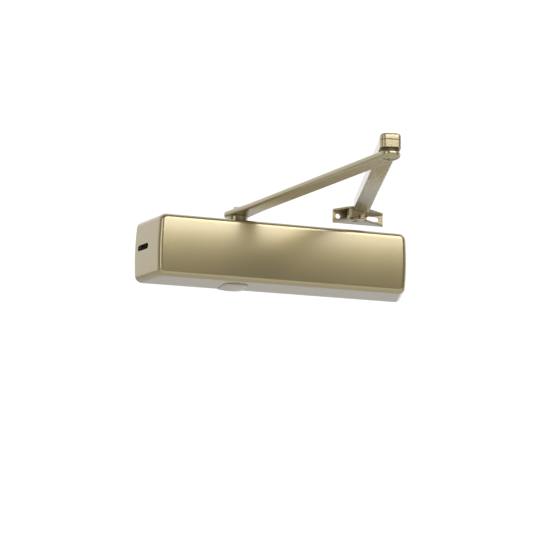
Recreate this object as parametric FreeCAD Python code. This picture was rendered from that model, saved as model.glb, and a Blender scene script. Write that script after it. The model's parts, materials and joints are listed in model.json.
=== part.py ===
"""Surface-mounted door closer: covered hydraulic body, two-piece arm and frame shoe.

Row frame, in millimetres: the origin is the middle of the body's mounting face.
+Z is up, -Y points away from the door leaf and +X runs from the spindle end to the spring end.
"""
import FreeCAD, Part
import math
import os

Vector = FreeCAD.Vector

# --- cover ---------------------------------------------------------------------------------
COVER_LENGTH = 314.0        # at the door face
COVER_DEPTH = 56.6
COVER_HEIGHT = 69.0
COVER_WALL = 2.0
COVER_END_TAPER = 15.5      # each end leans in by this much from the door face to the front
COVER_END_RADIUS = 7.2      # edges that run from the door to the front
COVER_FRONT_RADIUS = 5.4    # edges round the front face
COVER_END_CROWN = 1.7       # bulge of each end face
COVER_FRONT_CROWN = 1.0     # bulge of the front face
NOTCH_RADIUS = 13.2         # notch round the spindle, open at the door side
SLOT_LENGTH = 25.0          # oblong key opening in the valve end
SLOT_HEIGHT = 6.4
SLOT_Y = -18.6
SLOT_Z = 2.2
KEY_HOLE_RADIUS = 5.0       # round key opening in the spring end

# --- spindle cap under the cover -------------------------------------------------------------
CAP_RADIUS = 13.9
CAP_DROP = 1.9              # how far the crown stands below the cover
CAP_EDGE = 0.7              # how far its sides stand below the cover
CAP_RIM = 12.9
CAP_WALL = 1.5
CAP_NOSE = 2.2              # slope round the cap's front
DOOR_GAP = 0.6              # the cap's end stays this far from the door

# --- hydraulic body ---------------------------------------------------------------------------
BORE_Y = -27.5              # axis of the bore, which the spindle axis crosses
BORE_RADIUS = 18.5
BARREL_RADIUS = 22.5
BARREL_HALF = 130.0
PLATE_THICKNESS = 7.0
PLATE_HALF_LENGTH = 144.0
PLATE_HALF_HEIGHT = 31.5
SCREW_X = 120.0             # half the hole spacing along the body
SCREW_Z = 26.5              # half the hole spacing across the body
SCREW_HOLE_RADIUS = 3.4
WEB_HALF_HEIGHT = 14.0
END_CAP_FLANGE = 3.0
END_CAP_FLANGE_RADIUS = 20.5
PLATE_CORNER = 6.0
PLATE_RELIEF_X = 94.0       # the plate is full height beyond this
PLATE_RELIEF_Z = 16.5
SPANNER_Z = 15.0            # pin spanner holes in the end plugs
SPANNER_RADIUS = 1.6
SPANNER_DEPTH = 3.0
THREAD_GAP = 0.03           # threads are drawn as plain cylinders with this clearance

# --- spindle and its bearings -------------------------------------------------------------------
SPINDLE_X = -48.5
BOSS_RADIUS = 17.0
BOSS_HALF_HEIGHT = 28.5
SEAT_RADIUS = 13.0          # bore for bearing, seal and retainer
JOURNAL_RADIUS = 9.0
JOURNAL_GAP = 0.05
BEARING_SPAN = (19.0, 23.4)
SEAL_SPAN = (23.6, 25.6)
RETAINER_SPAN = (25.8, 28.2)
SQUARE_SIDE = 12.4
SQUARE_SPAN = (28.9, 34.4)
SQUARE_CORNER = 1.2
ARM_SCREW_RADIUS = 3.0
ARM_SCREW_LOW = 24.0        # end of the arm screw in the spindle
ARM_SCREW_HOLE = 3.3
TAP_LOW = 20.0              # bottom of the tapped holes in the spindle
KEEPER_HOLE_CIRCLE = 11.5
KEEPER_HOLE_RADIUS = 0.8

# --- rack and pinion ------------------------------------------------------------------------------
TOOTH_MODULE = 1.6
PINION_TEETH = 10
PRESSURE_ANGLE = math.radians(25.0)
RACK_ADDENDUM = 1.3
PINION_ADDENDUM = 1.5
ROOT_CLEARANCE = 0.35
BACKLASH = 0.14             # each flank pair is thinned by this much
GEAR_HALF_HEIGHT = 17.7
ARM_TRAVEL = math.radians(180.0)
PISTON_GAP = 0.06
PISTON_HEAD = 14.0
PINION_ROOM = 10.5          # half the piston's window beside the pinion at the travel's ends
SPRING_GUIDE_RADIUS = 6.0
PISTON_GROOVES = 3
PISTON_GROOVE_PITCH = 3.0

# --- springs and power adjuster -----------------------------------------------------------------
SPRING_SEAT_X = 97.0
SPRING_SEAT_THICKNESS = 8.0
OUTER_COIL_RADIUS = 14.2
OUTER_WIRE_RADIUS = 2.1
OUTER_TURNS = 11
INNER_COIL_RADIUS = 8.4
INNER_WIRE_RADIUS = 1.5
INNER_TURNS = 15
ADJUSTER_RADIUS = 4.0
ADJUSTER_COLLAR_RADIUS = 7.5
ADJUSTER_START = 14.0       # length of screw past the seat
SPRING_END_GAP = 0.3

# --- arms ----------------------------------------------------------------------------------------
ARM_ANGLE = math.radians(-76.3)
ARM_LENGTH = 304.6          # spindle to elbow
ARM_WIDTH = 20.4
ARM_THICKNESS = 6.5
ARM_Z = 42.7                # underside of the main arm
ARM_EYE_RADIUS = 13.0
ARM_EYE_REACH = 4.5         # the eye is centred this far beyond the spindle
ARM_FLARE_LENGTH = 45.0
ARM_EDGE = 2.6
HUB_RADIUS = 11.5
HUB_BOTTOM = 29.4
FOREARM_WIDTH = 19.0
FOREARM_THICKNESS = 12.4
FOREARM_EDGE = 2.2
KNUCKLE_SPAN = (51.3, 58.9)
TONGUE_SPAN = (59.2, 65.6)
TONGUE_ROUND = 3.0
TONGUE_LENGTH = 30.0
FOREARM_LOWER_LIP = 2.1     # the forearm's end face below its sloping top
FOREARM_NOSE = 8.0
KNUCKLE_WIDTH = 20.4
KNUCKLE_FRONT = 10.2        # from the elbow axis to the front of the knuckle
KNUCKLE_BACK = 13.5         # from the elbow axis to the seam
KNUCKLE_CORNER = 5.6
ELBOW_PIN_RADIUS = 4.0
ELBOW_PIN_HEAD = 6.6
ELBOW_HEAD_DEPTH = 2.0
ELBOW_POCKET_RADIUS = 6.4
ELBOW_POCKET_DEPTH = 3.4
BUSH_WALL = 1.6
WASHER_THICKNESS = 1.4
KNUCKLE_SCREW_X = 10.0      # from the elbow axis to the knuckle screw
KNUCKLE_SCREW_RADIUS = 1.6
KNUCKLE_SCREW_HEAD = 2.8

# --- frame shoe -----------------------------------------------------------------------------------
SHOE_PIVOT = (94.0, -14.5)
SHOE_LEFT = 71.2
SHOE_RIGHT = 131.8
SHOE_BOTTOM = 52.6
SHOE_TOP = 68.6
SHOE_SHEET = 2.2
SHOE_NOSE_Y = -22.3
SHOE_NOSE_HALF = 9.4
SHOE_HOLE_X = 77.2
SHOE_HOLE_RADIUS = 3.0
SHOE_SLOT_X = 119.6
SHOE_SLOT_LENGTH = 14.8
SHOE_PIN_RADIUS = 3.5
LUG_RADIUS = 9.4
LUG_SPAN = (55.4, 65.9)
LUG_NOSE = 1.2              # the lug stands this far past the shoe's flanges
LUG_CORNER = 3.0
LUG_RECESS_HALF = 3.4
LUG_RECESS_DEPTH = 3.6
LUG_RECESS_SPRING = 2.2     # from the lug's underside to the centre of the recess's arch
SHOE_END_DEPTH = 0.6        # depth of each flange past the sheet at the shoe's ends
SHOE_CORNER = 2.0
SHOE_BEND = 1.4
FOREARM_END_Z = 64.0        # underside of the forearm at the shoe

# --- how far cutters pass the faces they open ------------------------------------------------------
PAST = 1.0

HALF_HEIGHT = COVER_HEIGHT / 2
PITCH_RADIUS = TOOTH_MODULE * PINION_TEETH / 2
ARM_TOP = ARM_Z + ARM_THICKNESS
ELBOW_X = SPINDLE_X + ARM_LENGTH * math.cos(ARM_ANGLE)
ELBOW_Y = BORE_Y + ARM_LENGTH * math.sin(ARM_ANGLE)
X_AXIS = Vector(1, 0, 0)
Y_AXIS = Vector(0, 1, 0)
Z_AXIS = Vector(0, 0, 1)


# --- small helpers --------------------------------------------------------------------------------
def rod(radius, start, length, axis):
    """A plain cylinder from a start point along an axis."""
    return Part.makeCylinder(radius, length, start, axis)


def ring(outer, inner, start, length, axis):
    """A plain tube from a start point along an axis."""
    return rod(outer, start, length, axis).cut(rod(inner, start, length, axis))


def upright(radius, x, y, low, high):
    """A vertical cylinder between two levels."""
    return rod(radius, Vector(x, y, low), high - low, Z_AXIS)


def block(low, high):
    """A box between two corners."""
    size = [high[i] - low[i] for i in range(3)]
    return Part.makeBox(size[0], size[1], size[2], Vector(*low))


def prism(points, axis, length):
    """A straight-sided outline pushed along an axis."""
    corners = [Vector(*point) for point in points]
    wire = Part.makePolygon(corners + [corners[0]])
    return Part.Face(wire).extrude(axis * length)


def fillet_where(solid, radius, wanted):
    """Round the edges whose centre and direction pass a test."""
    edges = [edge for edge in solid.Edges if wanted(edge)]
    return solid.makeFillet(radius, edges)


def runs_along(edge, axis):
    """Whether an edge runs along an axis or leans a little from it."""
    return abs(edge.tangentAt(edge.FirstParameter).dot(axis)) > 0.9


def turned(solid, x, y, angle):
    """Turn a solid made along +X at the origin about Z, then move it to a plan position."""
    placed = solid.copy()
    placed.rotate(Vector(0, 0, 0), Z_AXIS, math.degrees(angle))
    placed.translate(Vector(x, y, 0))
    return placed


def hex_prism(across_flats, start, length, axis):
    """A hexagonal prism for a socket."""
    corner = across_flats / math.sqrt(3)
    outline = [Vector(corner * math.cos(math.radians(60 * i)), corner * math.sin(math.radians(60 * i)), 0)
               for i in range(7)]
    solid = Part.Face(Part.makePolygon(outline)).extrude(Z_AXIS * length)
    solid.Placement = FreeCAD.Placement(start, FreeCAD.Rotation(Z_AXIS, axis))
    return solid


# --- cover ----------------------------------------------------------------------------------------
def crown_radius(crown):
    """Radius of an arc over the cover's height that bulges by a crown."""
    return (HALF_HEIGHT ** 2 + crown ** 2) / (2 * crown)


def cover_block(inset):
    """The cover's outer form, or its inside when it is inset by the wall."""
    lean = COVER_END_TAPER / COVER_DEPTH
    half_back = COVER_LENGTH / 2 - inset * math.sqrt(1 + lean * lean)
    depth = COVER_DEPTH - inset
    half_front = half_back - lean * depth
    half_height = HALF_HEIGHT - inset
    outline = [(-half_back, 0, -half_height), (half_back, 0, -half_height),
               (half_front, -depth, -half_height), (-half_front, -depth, -half_height)]
    form = prism(outline, Z_AXIS, 2 * half_height)
    front_radius = crown_radius(COVER_FRONT_CROWN)
    axis_start = Vector(-COVER_LENGTH, -depth + front_radius, 0)
    form = form.common(rod(front_radius, axis_start, 2 * COVER_LENGTH, X_AXIS))
    end_radius = crown_radius(COVER_END_CROWN)
    for side in (-1, 1):
        run = Vector(-side * lean, -1, 0).normalize()
        square_off = Vector(-side, lean, 0).normalize()
        start = Vector(side * half_back, 0, 0) + square_off * end_radius - run * 2 * COVER_DEPTH
        form = form.common(rod(end_radius, start, 5 * COVER_DEPTH, run))
    form = fillet_where(form, COVER_END_RADIUS - inset,
                        lambda e: runs_along(e, Y_AXIS))
    limit = -depth + COVER_FRONT_CROWN + 0.5
    return fillet_where(form, COVER_FRONT_RADIUS - inset, lambda e: e.BoundBox.YMax < limit)


def spindle_notch(low, high, radius):
    """An upright U-shaped space round the spindle, open towards the door."""
    round_part = upright(radius, SPINDLE_X, BORE_Y, low, high)
    straight = block((SPINDLE_X - radius, BORE_Y, low), (SPINDLE_X + radius, 1.0, high))
    return round_part.fuse(straight)


def slot_cutter():
    """The oblong through the valve end, square to the leaning end face."""
    reach = 14.0
    half = (SLOT_LENGTH - SLOT_HEIGHT) / 2
    middle = block((-reach, -half, -SLOT_HEIGHT / 2), (reach, half, SLOT_HEIGHT / 2))
    cutter = middle
    for end in (-half, half):
        cutter = cutter.fuse(rod(SLOT_HEIGHT / 2, Vector(-reach, end, 0), 2 * reach, X_AXIS))
    lean = math.degrees(math.atan(COVER_END_TAPER / COVER_DEPTH))
    cutter.rotate(Vector(0, 0, 0), Z_AXIS, lean)
    wall_x = -COVER_LENGTH / 2 + COVER_END_TAPER * -SLOT_Y / COVER_DEPTH
    cutter.translate(Vector(wall_x, SLOT_Y, SLOT_Z))
    return cutter


def make_cover_shell():
    shell = cover_block(0.0).cut(cover_block(COVER_WALL))
    shell = shell.cut(spindle_notch(HALF_HEIGHT - 2 * COVER_WALL, HALF_HEIGHT + 1, NOTCH_RADIUS))
    shell = shell.cut(spindle_notch(-HALF_HEIGHT - 1, -HALF_HEIGHT + 2 * COVER_WALL, NOTCH_RADIUS))
    shell = shell.cut(slot_cutter())
    key_hole = rod(KEY_HOLE_RADIUS, Vector(COVER_LENGTH / 2 - 20, BORE_Y, 0), 30, X_AXIS)
    return shell.cut(key_hole)


def make_pinion_cap():
    """The crowned blister that closes the lower notch, with a rim that snaps into the notch."""
    low = -HALF_HEIGHT - CAP_DROP
    plan = upright(CAP_RADIUS, SPINDLE_X, BORE_Y, low, -HALF_HEIGHT)
    tail = block((SPINDLE_X - CAP_RADIUS, BORE_Y, low), (SPINDLE_X + CAP_RADIUS, -DOOR_GAP, -HALF_HEIGHT))
    blister = plan.fuse(tail).removeSplitter()
    sagitta = CAP_DROP - CAP_EDGE
    radius = (CAP_RADIUS ** 2 + sagitta ** 2) / (2 * sagitta)
    crown = rod(radius, Vector(SPINDLE_X, BORE_Y - 2 * CAP_RADIUS, low + radius), 80, Y_AXIS)
    nose = Part.makeCone(CAP_RADIUS - CAP_NOSE, CAP_RADIUS, CAP_DROP, Vector(SPINDLE_X, BORE_Y, low))
    nose = nose.fuse(block((SPINDLE_X - CAP_RADIUS, BORE_Y, low), (SPINDLE_X + CAP_RADIUS, 0, -HALF_HEIGHT)))
    blister = blister.common(crown).common(nose)
    rim_top = -HALF_HEIGHT + COVER_WALL
    rim_low = -HALF_HEIGHT - 0.01
    rim = upright(CAP_RIM, SPINDLE_X, BORE_Y, rim_low, rim_top)
    rim_tail = block((SPINDLE_X - CAP_RIM, BORE_Y, rim_low), (SPINDLE_X + CAP_RIM, -DOOR_GAP, rim_top))
    cap = blister.fuse(rim).fuse(rim_tail)
    hollow = CAP_RIM - CAP_WALL
    inside = upright(hollow, SPINDLE_X, BORE_Y, low + CAP_WALL, rim_top + 1)
    inside_tail = block((SPINDLE_X - hollow, BORE_Y, low + CAP_WALL), (SPINDLE_X + hollow, 1, rim_top + 1))
    return cap.cut(inside).cut(inside_tail).removeSplitter()


# --- hydraulic body -------------------------------------------------------------------------------
BACKCHECK_X = -100.0
BACKCHECK_RADIUS = 2.6
BACKCHECK_BOSS_RADIUS = 6.0
BACKCHECK_BOSS_Y = -52.4
BACKCHECK_DEPTH = 4.4


def mounting_plate():
    """The flat foot with four screw holes; ribs join it to the barrel."""
    half = PLATE_HALF_LENGTH
    plate = block((-half, -PLATE_THICKNESS, -PLATE_HALF_HEIGHT), (half, 0, PLATE_HALF_HEIGHT))
    plate = fillet_where(plate, PLATE_CORNER, lambda e: runs_along(e, Y_AXIS))
    for side in (-1, 1):
        edge = side * PLATE_HALF_HEIGHT
        inner = side * PLATE_RELIEF_Z
        low = (SPINDLE_X + BOSS_RADIUS + 10.0, -PLATE_THICKNESS - 1, min(edge, inner) - 0.5)
        high = (PLATE_RELIEF_X, 1, max(edge, inner) + 0.5)
        cutter = block(low, high)
        cutter = fillet_where(cutter, PLATE_CORNER, lambda e: runs_along(e, Y_AXIS))
        plate = plate.cut(cutter)
    return plate


def make_hydraulic_body():
    start = Vector(-BARREL_HALF, BORE_Y, 0)
    length = 2 * BARREL_HALF
    body = mounting_plate()
    web = block((-BARREL_HALF, BORE_Y, -WEB_HALF_HEIGHT), (BARREL_HALF, -1, WEB_HALF_HEIGHT))
    body = body.fuse(web)
    body = body.fuse(rod(BARREL_RADIUS, start, length, X_AXIS))
    body = body.fuse(upright(BOSS_RADIUS, SPINDLE_X, BORE_Y, -BOSS_HALF_HEIGHT, BOSS_HALF_HEIGHT))
    boss_web = block((SPINDLE_X - BOSS_RADIUS + 3, BORE_Y, -BOSS_HALF_HEIGHT + 2),
                     (SPINDLE_X + BOSS_RADIUS - 3, -1, BOSS_HALF_HEIGHT - 2))
    body = body.fuse(boss_web)
    boss_start = Vector(BACKCHECK_X, BORE_Y, 0)
    boss_length = BORE_Y - BACKCHECK_BOSS_Y
    body = body.fuse(rod(BACKCHECK_BOSS_RADIUS, boss_start, boss_length, -Y_AXIS))
    body = body.cut(rod(BORE_RADIUS, start, length, X_AXIS))
    body = body.cut(upright(SEAT_RADIUS, SPINDLE_X, BORE_Y, -BOSS_HALF_HEIGHT - 1, BOSS_HALF_HEIGHT + 1))
    valve_start = Vector(BACKCHECK_X, BACKCHECK_BOSS_Y, 0)
    body = body.cut(rod(BACKCHECK_RADIUS + THREAD_GAP, valve_start, BACKCHECK_DEPTH, Y_AXIS))
    for x in (-SCREW_X, SCREW_X):
        for z in (-SCREW_Z, SCREW_Z):
            place = Vector(x, -PLATE_THICKNESS - PAST, z)
            body = body.cut(rod(SCREW_HOLE_RADIUS, place, PLATE_THICKNESS + 2 * PAST, Y_AXIS))
        for z in (-CLIP_SCREW_Z, CLIP_SCREW_Z):
            body = body.cut(clip_hole(x, z))
    return body.removeSplitter()


CLIP_SCREW_RADIUS = 1.5
CLIP_SCREW_X = 4.6          # inboard of the plate's end
CLIP_SCREW_Z = 9.0


def clip_hole(x, z):
    """A tapped hole for a cover clip screw, beside each end of the plate."""
    place = math.copysign(PLATE_HALF_LENGTH - CLIP_SCREW_X, x)
    return rod(CLIP_SCREW_RADIUS + THREAD_GAP, Vector(place, -PLATE_THICKNESS - 1, z), 6.0, Y_AXIS)


VALVE_PLACES = {"sweep_valve": -14.5, "latch_valve": -24.5}
VALVE_Z = SLOT_Z
VALVE_RADIUS = 2.8
VALVE_NECK = 1.5
VALVE_HEAD_DEPTH = 8.0
VALVE_LENGTH = 14.0
PLUG_LENGTH = 16.0
SEAL_GROOVE_X = 9.0
SEAL_WIRE = 1.2


def end_plug(side):
    """A threaded end plug with a flange outside the barrel and a groove for its seal."""
    face = side * BARREL_HALF
    inward = X_AXIS * -side
    plug = rod(BORE_RADIUS - THREAD_GAP, Vector(face, BORE_Y, 0), PLUG_LENGTH, inward)
    flange = rod(END_CAP_FLANGE_RADIUS, Vector(face, BORE_Y, 0), END_CAP_FLANGE, X_AXIS * side)
    flange = flange.makeChamfer(0.8, [e for e in flange.Edges if abs(e.CenterOfMass.x) > BARREL_HALF + 1])
    plug = plug.fuse(flange)
    groove_x = side * (BARREL_HALF - SEAL_GROOVE_X)
    groove_start = Vector(groove_x - SEAL_WIRE, BORE_Y, 0)
    groove = ring(BORE_RADIUS + 1, BORE_RADIUS - 2 * SEAL_WIRE, groove_start, 2 * SEAL_WIRE, X_AXIS)
    return plug.cut(groove)


def end_seal(side):
    """The seal ring that fills the groove of an end plug."""
    groove_x = side * (BARREL_HALF - SEAL_GROOVE_X)
    centre = Vector(groove_x, BORE_Y, 0)
    radius = BORE_RADIUS - SEAL_WIRE - 0.02
    return Part.makeTorus(radius, SEAL_WIRE - 0.04, centre, X_AXIS)


def make_valve_end_cap():
    cap = end_plug(-1)
    outer = -BARREL_HALF - END_CAP_FLANGE
    for y in VALVE_PLACES.values():
        head_start = Vector(outer - PAST, y, VALVE_Z)
        cap = cap.cut(rod(VALVE_RADIUS + THREAD_GAP, head_start, VALVE_HEAD_DEPTH + PAST, X_AXIS))
        cap = cap.cut(rod(VALVE_NECK + 0.2, Vector(outer, y, VALVE_Z), VALVE_LENGTH + 1, X_AXIS))
    for z in (-SPANNER_Z, SPANNER_Z):
        cap = cap.cut(rod(SPANNER_RADIUS, Vector(outer - PAST, BORE_Y, z), SPANNER_DEPTH + PAST, X_AXIS))
    return cap


def make_spring_end_cap():
    cap = end_plug(1)
    bore_start = Vector(BARREL_HALF - PLUG_LENGTH - 1, BORE_Y, 0)
    cap = cap.cut(rod(ADJUSTER_RADIUS + JOURNAL_GAP, bore_start, PLUG_LENGTH + END_CAP_FLANGE + 2, X_AXIS))
    hole_bottom = BARREL_HALF + END_CAP_FLANGE - SPANNER_DEPTH + 0.5
    for z in (-SPANNER_Z, SPANNER_Z):
        cap = cap.cut(rod(SPANNER_RADIUS, Vector(hole_bottom, BORE_Y, z), SPANNER_DEPTH + PAST, X_AXIS))
    return cap


def regulating_screw(y):
    """A metering screw: a head with a hex socket and a slim needle."""
    outer = -BARREL_HALF - END_CAP_FLANGE + 0.6
    head_length = VALVE_HEAD_DEPTH - 1.0
    screw = rod(VALVE_RADIUS, Vector(outer, y, VALVE_Z), head_length, X_AXIS)
    needle = Part.makeCone(VALVE_NECK, 0.5, VALVE_LENGTH - head_length - 1,
                           Vector(outer + head_length, y, VALVE_Z), X_AXIS)
    screw = screw.fuse(needle)
    return screw.cut(hex_prism(2.4, Vector(outer - 0.1, y, VALVE_Z), 3.0, X_AXIS))


def make_backcheck_valve():
    start = Vector(BACKCHECK_X, BACKCHECK_BOSS_Y + 0.3, 0)
    screw = rod(BACKCHECK_RADIUS, start, BACKCHECK_DEPTH - 0.6, Y_AXIS)
    return screw.cut(hex_prism(2.4, start - Y_AXIS * 0.1, 2.4, Y_AXIS))


def span_ring(outer, inner, span, side):
    """A ring round the spindle at a height span, above or below the bore."""
    low = min(side * span[0], side * span[1])
    return ring(outer, inner, Vector(SPINDLE_X, BORE_Y, low), span[1] - span[0], Z_AXIS)


def make_bearing(side):
    return span_ring(SEAT_RADIUS - 0.02, JOURNAL_RADIUS + JOURNAL_GAP, BEARING_SPAN, side)


def make_spindle_seal(side):
    seal = span_ring(SEAT_RADIUS - 0.05, JOURNAL_RADIUS + JOURNAL_GAP, SEAL_SPAN, side)
    lip_span = (SEAL_SPAN[1] - 0.9, SEAL_SPAN[1] + 0.1)
    return seal.cut(span_ring(SEAT_RADIUS - 1.4, JOURNAL_RADIUS + 1.2, lip_span, side))


def make_retainer_ring(side):
    keeper = span_ring(SEAT_RADIUS - THREAD_GAP, JOURNAL_RADIUS + 0.8, RETAINER_SPAN, side)
    for angle in range(0, 360, 90):
        x = SPINDLE_X + KEEPER_HOLE_CIRCLE * math.cos(math.radians(angle))
        y = BORE_Y + KEEPER_HOLE_CIRCLE * math.sin(math.radians(angle))
        low = min(side * (RETAINER_SPAN[1] - 1.4), side * (RETAINER_SPAN[1] + 0.1))
        keeper = keeper.cut(upright(KEEPER_HOLE_RADIUS, x, y, low, low + 1.5))
    return keeper


CLIP_SHEET = 0.8
CLIP_HALF_WIDTH = 17.0
CLIP_REACH = 22.0
CLIP_GAP_HALF = 7.5         # half the gap between a clip's two prongs, where the key passes
CLIP_GAP_X = 143.0


def cover_clip(side):
    """A spring steel angle: a foot on the plate and two prongs beside the cover's end wall."""
    lean = COVER_END_TAPER / COVER_DEPTH
    face = -PLATE_THICKNESS
    tip = face - CLIP_REACH
    wall = COVER_LENGTH / 2 - COVER_WALL - COVER_END_CROWN - 0.7
    foot_in = side * (PLATE_HALF_LENGTH - 9.5)
    root = side * (wall + lean * face)
    end = side * (wall + lean * tip)
    sheet = side * CLIP_SHEET
    outline = [(foot_in, face, 0), (root, face, 0), (end, tip, 0),
               (end - sheet, tip, 0), (root - sheet, face - CLIP_SHEET, 0), (foot_in, face - CLIP_SHEET, 0)]
    clip = prism(outline, Z_AXIS, 2 * CLIP_HALF_WIDTH)
    clip.translate(Z_AXIS * -CLIP_HALF_WIDTH)
    gap_ends = sorted((side * CLIP_GAP_X, side * COVER_LENGTH / 2))
    clip = clip.cut(block((gap_ends[0], tip - 1, -CLIP_GAP_HALF), (gap_ends[1], face + 1, CLIP_GAP_HALF)))
    for z in (-CLIP_SCREW_Z, CLIP_SCREW_Z):
        place = Vector(side * (PLATE_HALF_LENGTH - CLIP_SCREW_X), face - 2, z)
        clip = clip.cut(rod(CLIP_SCREW_RADIUS + 0.2, place, 4, Y_AXIS))
    return clip


def make_cover_clips():
    return Part.makeCompound([cover_clip(-1), cover_clip(1)])


def make_clip_screws():
    """Four round-headed screws that hold the clips."""
    screws = []
    head_y = -PLATE_THICKNESS - CLIP_SHEET
    for side in (-1, 1):
        for z in (-CLIP_SCREW_Z, CLIP_SCREW_Z):
            x = side * (PLATE_HALF_LENGTH - CLIP_SCREW_X)
            head = rod(2.8, Vector(x, head_y, z), 1.8, -Y_AXIS)
            head = head.makeFillet(0.8, [e for e in head.Edges if e.CenterOfMass.y < head_y - 1])
            shank = rod(CLIP_SCREW_RADIUS, Vector(x, head_y - 0.5, z), 5.0, Y_AXIS)
            slot = block((x - 4, head_y - 2, z - 0.35), (x + 4, head_y - 1.1, z + 0.35))
            screws.append(head.fuse(shank).cut(slot))
    return Part.makeCompound(screws)


PAD_THICKNESS = 5.0
PAD_GAP = 0.3               # clearance to the plate and to the cover's wall


def end_pad(side):
    """A soft pad that closes the space between an end of the plate and the cover."""
    lean = COVER_END_TAPER / COVER_DEPTH
    wall = COVER_LENGTH / 2 - (COVER_WALL + COVER_END_CROWN) * math.sqrt(1 + lean * lean) - PAD_GAP
    inner = PLATE_HALF_LENGTH + PAD_GAP
    half = PLATE_HALF_HEIGHT
    front_wall = wall - lean * PAD_THICKNESS
    outline = [(side * inner, 0, -half), (side * wall, 0, -half),
               (side * front_wall, -PAD_THICKNESS, -half), (side * inner, -PAD_THICKNESS, -half)]
    pad = prism(outline, Z_AXIS, 2 * half)
    return fillet_where(pad, 3.0, lambda e: runs_along(e, Y_AXIS)
                        and abs(e.CenterOfMass.x) > inner + 1)


def make_end_pads():
    return Part.makeCompound([end_pad(-1), end_pad(1)])


# --- spindle, piston and springs ---------------------------------------------------------------
def involute_point(radius, base):
    """Polar angle of an involute of a base circle at a radius."""
    turn = math.sqrt((radius / base) ** 2 - 1)
    return turn - math.atan(turn)


def pinion_tooth_flank(side, root, tip, half_angle):
    """Points up one flank, from the root to the tip, about the +X direction."""
    base = PITCH_RADIUS * math.cos(PRESSURE_ANGLE)
    pitch_turn = involute_point(PITCH_RADIUS, base)
    radii = [root] + [base + (tip - base) * step / 5 for step in range(6)]
    points = []
    for radius in radii:
        swing = involute_point(max(radius, base), base)
        angle = side * (half_angle + pitch_turn - swing)
        points.append((radius, angle))
    return points


def pinion_gear():
    """A short involute pinion; its teeth are thinned for running clearance."""
    root = PITCH_RADIUS - RACK_ADDENDUM - ROOT_CLEARANCE
    tip = PITCH_RADIUS + PINION_ADDENDUM
    half_angle = (math.pi * TOOTH_MODULE / 2 - BACKLASH) / (2 * PITCH_RADIUS)
    outline = []
    for tooth in range(PINION_TEETH):
        centre = math.radians(-90) + 2 * math.pi * tooth / PINION_TEETH
        rising = pinion_tooth_flank(-1, root, tip, half_angle)
        falling = list(reversed(pinion_tooth_flank(1, root, tip, half_angle)))
        for radius, angle in rising + falling:
            turn = centre + angle
            outline.append(Vector(radius * math.cos(turn), radius * math.sin(turn), 0))
    face = Part.Face(Part.makePolygon(outline + [outline[0]]))
    gear = face.extrude(Z_AXIS * 2 * GEAR_HALF_HEIGHT)
    gear.translate(Vector(SPINDLE_X, BORE_Y, -GEAR_HALF_HEIGHT))
    return gear


def make_pinion_shaft():
    shaft = pinion_gear()
    half = SQUARE_SIDE / 2
    for side in (-1, 1):
        low = min(side * (GEAR_HALF_HEIGHT - 0.01), side * SQUARE_SPAN[0])
        high = max(side * (GEAR_HALF_HEIGHT - 0.01), side * SQUARE_SPAN[0])
        shaft = shaft.fuse(upright(JOURNAL_RADIUS, SPINDLE_X, BORE_Y, low, high))
        low = min(side * SQUARE_SPAN[0], side * SQUARE_SPAN[1])
        square = block((-half, -half, low), (half, half, low + SQUARE_SPAN[1] - SQUARE_SPAN[0]))
        square = fillet_where(square, SQUARE_CORNER, lambda e: runs_along(e, Z_AXIS))
        shaft = shaft.fuse(turned(square, SPINDLE_X, BORE_Y, ARM_ANGLE))
        low = min(side * TAP_LOW, side * (SQUARE_SPAN[1] + PAST))
        high = low + SQUARE_SPAN[1] + PAST - TAP_LOW
        shaft = shaft.cut(upright(ARM_SCREW_RADIUS + THREAD_GAP, SPINDLE_X, BORE_Y, low, high))
    return shaft


PISTON_LEFT = SPINDLE_X - PITCH_RADIUS * ARM_TRAVEL - PINION_ROOM - PISTON_HEAD
PISTON_RIGHT = SPINDLE_X + PINION_ROOM + PISTON_HEAD


def rack_window():
    """The upright window in the piston that the pinion runs in, with the rack teeth on its front side."""
    pitch = math.pi * TOOTH_MODULE
    pitch_y = BORE_Y - PITCH_RADIUS
    tip_y = pitch_y + RACK_ADDENDUM
    root_y = pitch_y - PINION_ADDENDUM - ROOT_CLEARANCE
    slope = math.tan(PRESSURE_ANGLE)
    left = PISTON_LEFT + PISTON_HEAD
    right = PISTON_RIGHT - PISTON_HEAD
    reach = BORE_RADIUS + 1
    window = block((left, tip_y, -reach), (right, BORE_Y + 10.4, reach))
    gap_half = (pitch / 2 + BACKLASH) / 2
    first = math.ceil((left - SPINDLE_X) / pitch)
    last = math.floor((right - SPINDLE_X) / pitch)
    for number in range(first, last + 1):
        x = SPINDLE_X + number * pitch
        wide = gap_half + slope * (tip_y - pitch_y + 0.01)
        narrow = gap_half - slope * (pitch_y - root_y)
        if x - wide < left or x + wide > right:
            continue
        outline = [(x - wide, tip_y + 0.01, -reach), (x + wide, tip_y + 0.01, -reach),
                   (x + narrow, root_y, -reach), (x - narrow, root_y, -reach)]
        window = window.fuse(prism(outline, Z_AXIS, 2 * reach))
    return window


CHECK_BALL_RADIUS = 2.6
CHECK_Y = BORE_Y + 9.0


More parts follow.
